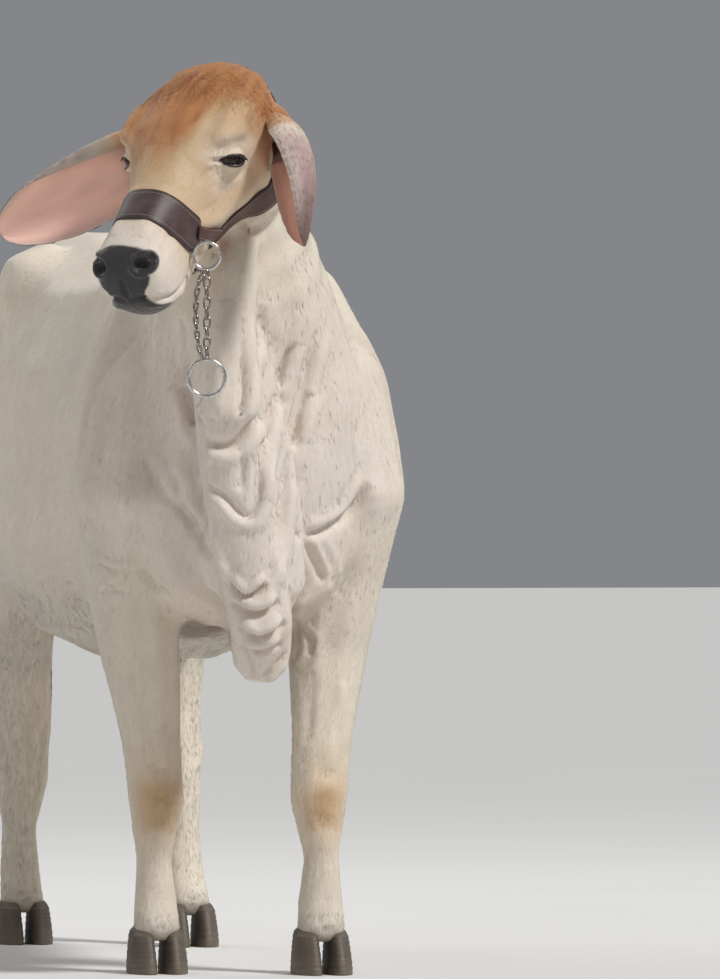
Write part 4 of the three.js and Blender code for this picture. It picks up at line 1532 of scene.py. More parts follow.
@dataclass
class Eyes:
    """Both eyes: a bulging cornea over a dark iris, black lid rims, a corner fold and lashes."""

    around: int = 72
    high: int = 48
    iris: float = 0.62
    pupil_wide: float = 0.40
    pupil_high: float = 0.17
    rim: float = 0.0026
    lash_length: float = 0.0105
    lashes: int = 46

    def build(self, finishes: dict) -> None:
        """Makes the pieces of both eyes."""
        for side in Side:
            seat = EyeSeat(side)
            self._ball(seat, finishes["eye"])
            self._rim(seat, finishes["rim"])
            self._lashes(seat, finishes["lash"])

    def _ball(self, seat: EyeSeat, material: Material) -> None:
        """The eyeball, painted by the angle from where it looks."""
        turn = np.linspace(0, 2 * math.pi, self.around, endpoint=False)
        fall = np.linspace(0, math.pi, self.high + 2)[1:-1]
        ring = np.stack([np.cos(turn), np.sin(turn)], -1)
        flat = np.sin(fall)[:, None, None] * ring[None]
        out = np.broadcast_to(np.cos(fall)[:, None, None], (self.high, self.around, 1))
        rows = np.concatenate([flat, out], -1)
        bulge = 1 + 0.035 * np.exp(-((fall / 0.5) ** 2))[:, None, None]
        shape = lattice(rows * STANCE.eye_radius * bulge)
        x, y, z = shape.points.T / STANCE.eye_radius
        away = np.hypot(x, y)
        colour = np.tile(np.array((0.12, 0.08, 0.06)), (len(x), 1))
        iris = (1 - ease(away, self.iris, self.iris + 0.06)) * (z > 0)
        ray = 0.5 + 0.5 * noise(np.stack([np.arctan2(y, x) * 14, away * 6, z * 0], -1), 21)
        brown = np.array((0.020, 0.011, 0.006)) * (0.6 + 0.9 * ray[:, None])
        colour = colour * (1 - iris[:, None]) + brown * iris[:, None]
        hole = np.sqrt((x / self.pupil_wide) ** 2 + (y / self.pupil_high) ** 2)
        pupil = (1 - ease(hole, 0.92, 1.05)) * (z > 0)
        colour = colour * (1 - pupil[:, None]) + 0.003 * pupil[:, None]
        shape.marking = colour
        shape.points = seat.place.world(shape.points)
        piece = tidied(shape).build(f"eyeball_{seat.side.word}", material, "eye")
        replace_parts(piece, f"eye_{seat.side.word}")

    def _rim(self, seat: EyeSeat, material: Material) -> None:
        """The black edge of both lids, thickest at the inner corner."""
        turn = np.linspace(0, 2 * math.pi, 64, endpoint=False)
        path = seat.edge(turn, seat.lid_radius - 0.0004)
        edge = loop(path, self.rim)
        folds = [edge]
        for turn, way, reach in ((math.pi, (-1.0, -0.25, -0.25), 0.013), (0.0, (1.0, -0.1, -0.6), 0.007)):
            corner = seat.edge(np.array([turn]), seat.lid_radius)[0]
            ahead = seat.place.turned(np.array(way))
            line = through(np.array([corner + ahead * s for s in (-0.004, reach * 0.3, reach)]), 12)
            folds.append(tube(line, np.linspace(0.0034, 0.0009, 12), 8))
        Shape.joined(folds).build(f"lid_rim_{seat.side.word}", material, "eye")

    def _lashes(self, seat: EyeSeat, material: Material) -> None:
        """Long lashes that droop from the upper lid, and short ones below."""
        draw = np.random.default_rng(31 + seat.side.value)
        shapes = []
        for k in range(self.lashes):
            upper = k < self.lashes * 3 // 4
            share = draw.uniform(0.08, 0.92)
            turn = math.pi * share if upper else -math.pi * share
            root = seat.edge(np.array([turn]), seat.lid_radius + 0.0008)[0]
            length = self.lash_length * draw.uniform(0.6, 1.0) * (1.0 if upper else 0.45)
            fan = math.cos(turn) * 0.7
            away = np.array((fan, -0.1 if upper else -0.5, 0.9))
            droop = np.array((fan * 0.3, -0.95 if upper else -0.5, 0.25))
            reach = [root]
            for step in range(1, 6):
                t = step / 5
                reach.append(reach[-1] + seat.place.turned(unit(away * (1 - t) + droop * t)) * length / 5)
            taper = np.linspace(0.00055, 0.00008, 6)
            shapes.append(tube(np.array(reach), taper, 4, up=seat.place.axes[:, 0]))
        Shape.joined(shapes).build(f"lashes_{seat.side.word}", material, "eye")


# Ears


@dataclass(frozen=True)
class Ear:
    """One ear as a curved leaf: its spine bends from base through mid to tip, its hollow looks towards face.

    Its upper edge is wider by rim shares of the half-width, and that strip is folded over the hollow.
    """

    side: Side
    base: tuple
    mid: tuple
    tip: tuple
    face: tuple
    curl: float
    half: float
    full: float
    rim: float
    fold: float

    def spine(self, share: float) -> tuple[np.ndarray, np.ndarray]:
        """The middle line's place and the way it runs at a share of its length."""
        a, b, c = mm(self.base), mm(self.mid), mm(self.tip)
        line = (1 - share) ** 2 * a + 2 * share * (1 - share) * b + share**2 * c
        return line, unit((1 - share) * (b - a) + share * (c - b))

    def root_balls(self) -> list:
        """Balls that fill the thick root under the skin, in the head's frame."""
        shares = np.linspace(0.0, 0.17, 6)
        return [(self.spine(t)[0], radius) for t, radius in zip(shares, np.linspace(0.036, 0.019, 6))]

    def row(self, across: np.ndarray, along: float, depth: np.ndarray) -> np.ndarray:
        """Places on the leaf at one share of its length, in the head's frame.

        Args:
            across: from -1 at the lower edge to 1 at the upper.
            along: from 0 at the base to 1 at the tip.
            depth: from -1 on the back to 1 in the hollow.

        Returns:
            Places, one row each.
        """
        line, run = self.spine(along)
        face = np.array(self.face)
        hollow = unit(face - run * (run @ face))
        rise = np.cross(run, hollow)
        spread = 0.36 + 0.64 * ease(along, 0, self.full)
        half = self.half * MM * spread * math.sqrt(max(1 - max(0, (along - 0.5) / 0.5) ** 2, 0))
        reach = 1 + self.rim * (1 - ease(along, 0.10, 0.98))
        s = np.linspace(-1, reach, 160)
        roll = self.curl + (1 - along) ** 3 * (2.2 - self.curl)
        turn = roll * s + self.fold * (1 - ease(along, 0.6, 0.98)) * ease(s, 0.84, 0.98 + 0.4 * (reach - 1))
        step = s[1] - s[0]
        side = np.cumsum(np.cos(turn)) * step * half
        rise_in = np.cumsum(np.sin(turn)) * step * half
        zero = np.searchsorted(s, 0)
        side, rise_in = side - side[zero], rise_in - rise_in[zero]
        arc = np.where(across > 0, across * reach, across)
        x, y, slope = (np.interp(arc, s, values) for values in (side, rise_in, turn))
        thick = (0.0030 - 0.0016 * along) * (1 - 0.35 * across**2) + 0.0004
        out = depth * thick + np.where(depth > 0, depth * self.ridges(across, along), 0)
        x, y = x - np.sin(slope) * out, y + np.cos(slope) * out
        return line + rise * x[:, None] + hollow * y[:, None]

    @staticmethod
    def ridges(across: np.ndarray, along: float) -> np.ndarray:
        """Long ridges of gristle inside the leaf."""
        fade = math.sin(min(along * 1.15, 1) * math.pi) ** 0.7
        waves = bell(across, -0.45, 0.09) + bell(across, -0.12, 0.10) * 0.7 + bell(across, 0.22, 0.09)
        return waves * fade * 0.0024


EARS = (
    Ear(
        side=Side.LEFT,
        base=(66, -48, -76),
        mid=(215, -66, -73),
        tip=(210, -258, -178),
        face=(-0.48, -1.25, 0.08),
        curl=1.9,
        half=86,
        full=0.46,
        rim=0.0,
        fold=0.0,
    ),
    Ear(
        side=Side.RIGHT,
        base=(-62, -54, -82),
        mid=(-202, -132, -133),
        tip=(-376, -235, -158),
        face=(0.39, -0.66, 0.48),
        curl=0.86,
        half=75,
        full=0.34,
        rim=0.40,
        fold=2.0,
    ),
)


@dataclass
class EarLeaves:
    """Both ear leaves as closed shells with thick rims, and the short hair on them."""

    rows: int = 70
    columns: int = 44
    outside: tuple = (0.47, 0.345, 0.335)
    outside_tip: tuple = (0.22, 0.14, 0.13)
    outside_rim: tuple = (0.62, 0.52, 0.46)
    inside: tuple = (1.0, 0.68, 0.57)
    inside_rim: tuple = (0.74, 0.57, 0.50)
    inside_deep: tuple = (0.085, 0.026, 0.020)
    root: tuple = (0.60, 0.33, 0.15)
    shoulder: tuple = (0.70, 0.61, 0.50)

    def build(self, material: Material) -> None:
        """Makes both leaves."""
        for ear in EARS:
            self._leaf(ear, material)

    def _leaf(self, ear: Ear, material: Material) -> None:
        """One leaf: the hollow side, then round the edge to the back."""
        along = np.linspace(0.02, 0.999, self.rows)
        turn = np.linspace(0, 2 * math.pi, 2 * self.columns, endpoint=False)
        across = np.cos(turn)
        depth = np.sign(np.sin(turn)) * np.abs(np.sin(turn)) ** 0.35
        shape = lattice(np.array([ear.row(across, share, depth) for share in along]))
        place_along = np.append(np.repeat(along, len(turn)), (along[0], along[-1]))
        place_across = np.append(np.tile(across, self.rows), (0, 0))
        place_depth = np.append(np.tile(depth, self.rows), (0, 0))
        shape.marking = self.paint(ear, place_across, place_along, place_depth)
        shape.lie = np.stack([place_along * 0.3, place_across * 0.08, place_depth * 0.002], -1)
        shape.points = HEAD.world(shape.points)
        piece = tidied(shape).build(f"ear_leaf_{ear.side.word}", material, "ear_skin")
        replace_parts(piece, f"ear_{ear.side.word}")

    def paint(self, ear: Ear, across: np.ndarray, along: np.ndarray, depth: np.ndarray) -> np.ndarray:
        """The leaf's colour: pink inside with a pale rim and painted shade deep in the hollow, mauve-grey
        outside.

        Args:
            ear: the ear.
            across: from the lower edge to the upper.
            along: from the base to the tip.
            depth: from the back to the hollow.

        Returns:
            A colour for each place.
        """
        place = np.stack([across * 3, along * 7, depth], -1)
        cloud = (0.5 + 0.5 * noise(place, 41))[:, None]

        def lay(under: np.ndarray, over: tuple, share: np.ndarray) -> np.ndarray:
            """Lays a colour over another."""
            share = np.clip(share, 0, 1).reshape(-1, 1)
            return under * (1 - share) + np.array(over) * share

        inner = np.array(self.inside) * (0.88 + 0.24 * cloud)
        inner = lay(inner, self.inside_rim, 0.85 * ease(np.abs(across), 0.66, 0.95))
        # painted shade: the hollow darkens towards the base, where the head and the leaf's curl shade it
        inner = lay(inner, self.inside_deep, 0.95 * (1 - ease(along, 0.20, 0.46)))
        # painted shadow of the head across the upper hollow of the ear with the rolled rim
        shade = 0.45 * bell(across, 0.62, 0.16) * (1 - ease(along, 0.4, 0.8)) * (ear.rim > 0)
        inner = lay(inner, self.inside_deep, shade)
        outer = np.array(self.outside) * (0.88 + 0.24 * cloud)
        outer = lay(outer, self.outside_tip, ease(along, 0.62, 0.98))
        rim = 0.8 * ease(np.abs(across), 0.60, 0.95) * (1 - ease(along, 0.8, 1))
        outer = lay(outer, self.outside_rim, rim)
        patch = bell(along, 0.50, 0.08) * bell(across, 0.0, 0.35)
        outer = lay(outer, self.root, 0.55 * patch)
        outer = lay(outer, self.shoulder, 0.9 * (1 - ease(along, 0.42, 0.56)))
        outer = lay(outer, self.root, 0.9 * (1 - ease(along + 0.03 * cloud[:, 0], 0.30, 0.44)))
        hollow = ease(depth, -0.5, 0.5)[:, None]
        return outer * (1 - hollow) + inner * hollow

    def fringe(self, coat: "Coat") -> None:
        """Short hair on the leaves' backs and rims, and the fringe that hangs from the rolled rim.

        Args:
            coat: what lays the tufts.
        """
        draw = np.random.default_rng(45)
        parts = []
        for ear in EARS:
            for _ in range(150):
                along = draw.uniform(0.04, 0.97)
                across = draw.uniform(-1, 1, 36)
                across[:14] = draw.choice((-1, 1), 14) * draw.uniform(0.90, 0.99, 14)
                across[14:22] = draw.uniform(0.7, 0.98, 8)
                depth = np.full(36, -1.0)
                depth[14:22] = 1.0 if along < 0.35 else -1.0
                here = ear.row(across, along, depth)
                ahead = ear.row(across, along + 0.02, depth)
                inner = ear.row(across, along, depth * 0.5)
                colour = self.paint(ear, across, np.full(36, along), depth)
                half = 0.25 if ear.side is Side.LEFT else 0.75
                flat = np.stack([across * 0.24 + half, np.full(36, along)], -1)
                parts.append((here, unit(here - inner), unit(ahead - here), colour, flat))
        roots, normals, lie, colour, flat = (np.concatenate(rows) for rows in zip(*parts))
        roots, normals, lie = HEAD.world(roots), HEAD.turned(normals), HEAD.turned(lie)
        length = draw.uniform(0.006, 0.012, len(roots))
        pelt = Pelt("coat_ears", len(roots), 0.009, 0.0009, 0.16)
        coat.piece(pelt, roots, normals, roots + lie * length[:, None], colour, flat, draw)


# Feet


@dataclass
class Claws:
    """Eight claws with flat soles, a rounded wall, a coronet and a cleft between each pair."""

    rings: tuple = (
        (0.0, 1.00, 0.0),
        (0.004, 1.02, 0.0),
        (0.020, 1.00, 0.10),
        (0.040, 0.93, 0.30),
        (0.056, 0.86, 0.46),
        (0.066, 0.78, 0.55),
        (0.074, 0.55, 0.60),
    )
    around: int = 40

    def build(self, material: Material) -> None:
        """Makes the eight claws inside the boxes of their nodes."""
        for foot in FEET:
            for which in ("inner", "outer"):
                self._claw(f"claw_{foot}_{which}", foot, material)

    def _claw(self, node: str, foot: str, material: Material) -> None:
        """One claw."""
        low, high = (np.array(corner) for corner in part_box(node))
        half = (high - low)[:2] / 2
        middle = (high + low)[:2] / 2
        inward = np.sign(FEET[foot][0] - middle[0])
        turn = np.linspace(0, 2 * math.pi, self.around, endpoint=False)
        c, s = np.cos(turn), np.sin(turn)
        side = np.sign(c) * np.abs(c) ** 0.72
        length = np.sign(s) * np.abs(s) ** 0.86
        flat = np.where(side * inward > 0, 0.80, 1.0)
        taper = np.where(length < 0, 1 - 0.34 * np.abs(length) ** 2.2, 1.0)
        hook = np.where(length < 0, inward * 0.0035 * np.abs(length) ** 2, 0)
        rows = []
        for height, size, back in self.rings:
            x = middle[0] + half[0] * size * side * flat * taper + hook
            front = half[1] * size * length * (1 - 0.30 * back * (length < 0))
            y = middle[1] + front + 0.012 * back
            z = np.full(self.around, height) + 0.004 * ease(height, 0.05, 0.07) * length
            rows.append(np.stack([x, y, np.maximum(z, 0)], -1))
        stations = np.array(rows)
        fine = np.stack([through(stations[:, k], 25) for k in range(self.around)], 1)
        fine[..., 2] = np.maximum(fine[..., 2], 0)
        ring = 0.0005 * np.sin(fine[..., 2] * 2 * math.pi / 0.0085) * ease(fine[..., 2], 0.006, 0.012)
        fine[..., 0] += ring * side
        fine[..., 1] += ring * length
        piece = tidied(lattice(fine)).build(node.replace("claw", "hoof"), material, "hoof_horn")
        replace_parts(piece, node)


# Coat


@dataclass(frozen=True)
class Pelt:
    """How tufts are on one stretch of the coat."""

    name: str
    tufts: int
    length: float
    width: float
    lift: float
    curved: bool = False


class Coat:
    """Tufts rooted on the skin, thin and overlapping along the lie."""

    SUNK = 0.00025

    def __init__(self, hide: Hide, material: Material) -> None:
        """Keeps the skin's triangles, their sizes and normals."""
        mesh = hide.mesh
        mesh.calc_loop_triangles()
        corners = np.empty(len(mesh.loop_triangles) * 3, np.int32)
        mesh.loop_triangles.foreach_get("vertices", corners)
        self.corners = corners.reshape(-1, 3)
        self.points = hide.points
        self.normals = hide.normals
        self.tree = hide.tree()
        self.material = material
        a, b, c = (self.points[self.corners[:, k]] for k in range(3))
        self.middle = (a + b + c) / 3
        cross = np.cross(b - a, c - a)
        self.area = np.linalg.norm(cross, axis=1) / 2
        self.facing = unit(cross)

    def grow(self, pelt: Pelt, density: np.ndarray, unwrap: Callable, seed: int) -> None:
        """Makes one coat piece on the skin.

        Args:
            pelt: the tufts' sizes.
            density: how thickly each triangle of the skin is haired.
            unwrap: turns places into two numbers from 0 to 1 that unroll this stretch of skin.
            seed: which random draw.
        """
        draw = np.random.default_rng(seed)
        chance = self.area * np.clip(density, 0, None)
        which = draw.choice(len(chance), pelt.tufts, p=chance / chance.sum())
        u, v = draw.random((2, pelt.tufts))
        over = u + v > 1
        u[over], v[over] = 1 - u[over], 1 - v[over]
        weights = np.stack([1 - u - v, u, v], -1)[..., None]
        roots = (self.points[self.corners[which]] * weights).sum(1)
        normals = unit((self.normals[self.corners[which]] * weights).sum(1))
        lie = lie_of(roots)
        turn = draw.normal(0, 0.13, pelt.tufts) + 0.3 * noise(roots * 22, 51)
        lie = unit(lie - normals * (lie * normals).sum(1, keepdims=True))
        lie = lie * np.cos(turn)[:, None] + np.cross(normals, lie) * np.sin(turn)[:, None]
        length = pelt.length * draw.uniform(0.65, 1.25, pelt.tufts)
        colour = MARKINGS(roots) * draw.uniform(0.94, 1.05, (pelt.tufts, 1))
        flat = unwrap(roots)
        low, high = flat.min(0), flat.max(0)
        flat = 0.02 + 0.96 * (flat - low) / (high - low)
        tips = roots + lie * length[:, None]
        tips = np.array([self.tree.find_nearest(Vector(row))[0] for row in tips])
        self.piece(pelt, roots, normals, tips, colour, flat, draw)

    def piece(
        self,
        pelt: Pelt,
        roots: np.ndarray,
        normals: np.ndarray,
        tips: np.ndarray,
        colour: np.ndarray,
        flat: np.ndarray,
        draw: np.random.Generator,
    ) -> None:
        """Builds the tufts as one mesh of closed slivers that take the light as the skin does.

        Args:
            pelt: the tufts' sizes.
            roots: where each tuft stands.
            normals: the skin's normals there.
            tips: the place on the skin that each tuft points to.
            colour: each tuft's colour.
            flat: each root's place on the unrolled skin.
            draw: the random numbers.
        """
        count = len(roots)
        reach = tips - roots
        length = np.linalg.norm(reach, axis=1, keepdims=True)
        lie = unit(reach)
        side = unit(np.cross(normals, lie))
        wide = pelt.width * draw.uniform(0.7, 1.3, (count, 1))
        lift = pelt.lift * draw.uniform(0.5, 1.4, (count, 1))
        sunk = roots - normals * self.SUNK
        spin = draw.uniform(-0.5, 0.5, (count, 1))
        base = [
            sunk + side * wide * 0.5,
            sunk - side * wide * 0.5,
            sunk + normals * (wide * 0.26 + 0.00015) + lie * wide * 0.4,
        ]
        tip = tips + normals * length * lift * 0.55 + side * spin * wide
        if pelt.curved:
            half = roots + lie * length * 0.5 + normals * length * lift * 0.5
            ring = [
                half + side * wide * 0.42,
                half - side * wide * 0.42,
                half + normals * wide * 0.3,
            ]
            points = np.stack([*base, *ring, tip], 1).reshape(-1, 3)
            sides = [(0, 1, 4), (0, 4, 3), (1, 2, 5), (1, 5, 4), (2, 0, 3), (2, 3, 5)]
            cell = np.array([(0, 2, 1), *sides, (3, 4, 6), (4, 5, 6), (5, 3, 6)])[:, ::-1]
            tilt = (0.25, -0.25, 0, 0.25, -0.25, 0, 0)
        else:
            points = np.stack([*base, tip], 1).reshape(-1, 3)
            cell = np.array([(0, 2, 1), (0, 1, 3), (1, 2, 3), (2, 0, 3)])[:, ::-1]
            tilt = (0.25, -0.25, 0, 0)
        each = len(tilt)
        faces = (np.arange(count)[:, None, None] * each + cell[None]).reshape(-1, 3)
        spot = np.clip(flat, 0.002, 0.998)[:, None] + PATCH[None, :each]
        marking = np.repeat(np.clip(colour, 0, 1), each, axis=0)
        shade = unit(normals[:, None] + side[:, None] * np.array(tilt)[None, :, None] + lie[:, None] * 0.15)
        shape = Shape(points, faces, marking, patch=spot.reshape(-1, 2))
        made = shape.build(pelt.name, self.material, "coat")
        made.data.normals_split_custom_set_from_vertices(shade.reshape(-1, 3))


PATCH = np.array([(-1, -1), (1, -1), (0, 0), (-0.6, 0), (0.6, 0), (0, 0.4), (0, 1)]) * 0.0015


def rolled(points: np.ndarray, x: int, y: int, z: int, middle: tuple, low: float, high: float) -> np.ndarray:
    """Unrolls a stretch of skin round an axis.

    Args:
        points: places.
        x: the axis that angle 0 lies on.
        y: the axis of a quarter turn.
        z: the axis that it is rolled round.
        middle: where the roll's axis is, along x and y.
        low: its lower end along z.
        high: its upper end along z.

    Returns:
        Two numbers from 0 to 1 for each place.
    """
    turn = np.arctan2(points[:, y] - middle[1], points[:, x] - middle[0]) / (2 * math.pi) + 0.5
    run = (points[:, z] - low) / (high - low)
    return np.clip(np.stack([turn, run], -1), 0, 1)


def unwrap_trunk(points: np.ndarray) -> np.ndarray:
    """The barrel unrolled round a level axis."""
    return rolled(points, 0, 2, 1, (0.06, 0.86), -0.62, 0.95)


def unwrap_neck(points: np.ndarray) -> np.ndarray:
    """The neck and dewlap unrolled round an upright axis."""
    return rolled(points, 0, 1, 2, (0.0, -0.56), 0.42, 1.45)


def unwrap_head(points: np.ndarray) -> np.ndarray:
    """The head unrolled round its long axis."""
    return rolled(HEAD.local(points), 0, 2, 1, (0, -0.1), -0.48, 0.08)


def unwrap_legs(points: np.ndarray) -> np.ndarray:
    """Two legs unrolled side by side, each round its own foot's axis."""
    names = list(FEET)
    front = points[:, 1].mean() < 0
    left, right = (FEET[name] for name in (names[:2] if front else names[2:]))
    on_left = np.abs(points[:, 0] - left[0]) < np.abs(points[:, 0] - right[0])
    flat = np.where(
        on_left[:, None],
        rolled(points, 0, 1, 2, tuple(left[:2]), 0.05, 0.70),
        rolled(points, 0, 1, 2, tuple(right[:2]), 0.05, 0.70),
    )
    flat[:, 0] = flat[:, 0] * 0.49 + np.where(on_left, 0.5, 0.0)
    return flat


def grow_coat(coat: Coat) -> None:
    """Lays the coat stretch by stretch: sleek and sparse on the trunk, finest on the face."""
    spot = coat.middle
    x, y, z = spot.T
    h = HEAD.local(spot)
    head = head_share(spot)
    bare = MARKINGS.muzzle(h) * head
    eyes = np.min([np.linalg.norm(h - np.array(STANCE.eye) * (s.value, 1, 1), axis=1) for s in Side], axis=0)
    on_head = (head > 0.5) * (1 - bare) * ease(eyes, 0.024, 0.030) * (1 + 2.0 * ease(h[:, 1], -0.2, -0.08))
    on_leg = (1 - (head > 0.5)) * (z < 0.56)
    on_neck = (1 - (head > 0.5)) * (z >= 0.56) * (y < -0.40)
    on_trunk = (z >= 0.56) * (y >= -0.40) * (y < 0.86)
    belly = on_leg * (np.abs(x - 0.06) < 0.12) * (y > -0.30) * (y < 0.50)
    front = on_leg * (y < -0.1) * (1 - belly)
    hind = on_leg * (y > 0.3) * (1 - belly)
    under = np.maximum(belly, on_trunk) * ease(-coat.facing[:, 2], 0.45, 0.8) * (1 - ease(z, 0.52, 0.66))
    around = unwrap_trunk
    coat.grow(Pelt("coat_trunk", 40000, 0.010, 0.0011, 0.05), on_trunk, around, 61)
    coat.grow(Pelt("coat_neck", 40000, 0.009, 0.0010, 0.05), on_neck, unwrap_neck, 62)
    coat.grow(Pelt("coat_head", 46000, 0.0055, 0.0008, 0.07), on_head, unwrap_head, 63)
    coat.grow(Pelt("coat_front_legs", 36000, 0.0075, 0.0010, 0.06), front, unwrap_legs, 64)
    coat.grow(Pelt("coat_hind_legs", 36000, 0.0075, 0.0010, 0.06), hind, unwrap_legs, 65)
    coat.grow(Pelt("coat_belly", 9000, 0.018, 0.0013, 0.12, True), under, around, 66)
    crown = (head > 0.4) * ease(h[:, 1], -0.15, -0.03) * ease(h[:, 2], -0.06, 0.0) + 1e-9 * head
    coat.grow(Pelt("coat_poll", 9000, 0.011, 0.0010, 0.12, True), crown, unwrap_head, 67)
    crest = (np.abs(x - 0.05) < 0.05) * (z > 1.20) * (y < 0.1) * (y > -0.7) * (1 - (head > 0.5))
    crest = crest + on_neck * 0.02
    coat.grow(Pelt("coat_crest", 6000, 0.014, 0.0012, 0.14, True), crest, unwrap_neck, 68)
    fringe = on_leg * (1 - belly) * ease(z, 0.05, 0.056) * (1 - ease(z, 0.075, 0.11)) * 3
    fringe = fringe + on_leg * (1 - belly) * behind(spot) * 1.2
    for name, region, seed in (("front", y < 0, 69), ("hind", y > 0, 70)):
        pelt = Pelt(f"coat_{name}_fetlocks", 6000, 0.012, 0.0011, 0.14, True)
        coat.grow(pelt, fringe * region, unwrap_legs, seed)


def behind(points: np.ndarray) -> np.ndarray:
    """1 on the backs of the legs, where the hair is longest."""
    share = np.zeros(len(points))
    for at in FEET.values():
        near = bell(points[:, 0], at[0], 0.06)
        share = np.maximum(share, near * ease(points[:, 1] - at[1], 0.01, 0.05))
    return share


# Tail


@dataclass
class Switch:
    """The long dark hair at the tail's end, in tapering locks that hang and turn a little."""

    locks: int = 260
    around: int = 5
    steps: int = 12

    def build(self, material: Material) -> None:
        """Makes the locks inside the box of the switch's node."""
        low, high = (np.array(corner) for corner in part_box("tail_switch"))
        centre = (low + high) / 2
        half = (high - low) / 2
        draw = np.random.default_rng(81)
        shapes = []
        for _ in range(self.locks):
            turn = draw.uniform(0, 2 * math.pi)
            ring = math.sqrt(draw.random())
            start = draw.uniform(-0.02, 0.10)
            length = (high[2] - low[2]) * draw.uniform(0.62, 1.0) - start
            t = np.linspace(0, 1, self.steps)
            spread = 0.30 + 0.62 * np.sin(np.clip(t * 1.25, 0, 1) * math.pi * 0.62)
            spread = spread * (1 - 0.55 * ease(t, 0.7, 1.0))
            swirl = turn + 0.5 * t * draw.uniform(-1, 1)
            x = centre[0] + half[0] * ring * spread * np.cos(swirl)
            y = centre[1] + half[1] * ring * spread * np.sin(swirl)
            z = high[2] - start - np.minimum(t * length, high[2] - start - low[2] - 0.002)
            size = 0.0030 * (1 - t) ** 0.6 * draw.uniform(0.6, 1.1) + 0.0002
            shapes.append(tube(np.stack([x, y, z], -1), size, self.around, up=(0, 1, 0)))
        piece = Shape.joined(shapes).build("switch_locks", material, "switch_hair")
        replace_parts(piece, "tail_switch")


# Halter


@dataclass(frozen=True)
class Route:
    """A strap's way over the head: [y in mm, degrees round the head's long axis from the top of the face]."""

    stops: tuple
    half: float
    thick: float = 0.0038
    lift: float = 0.0008
    lean: float = 0.0


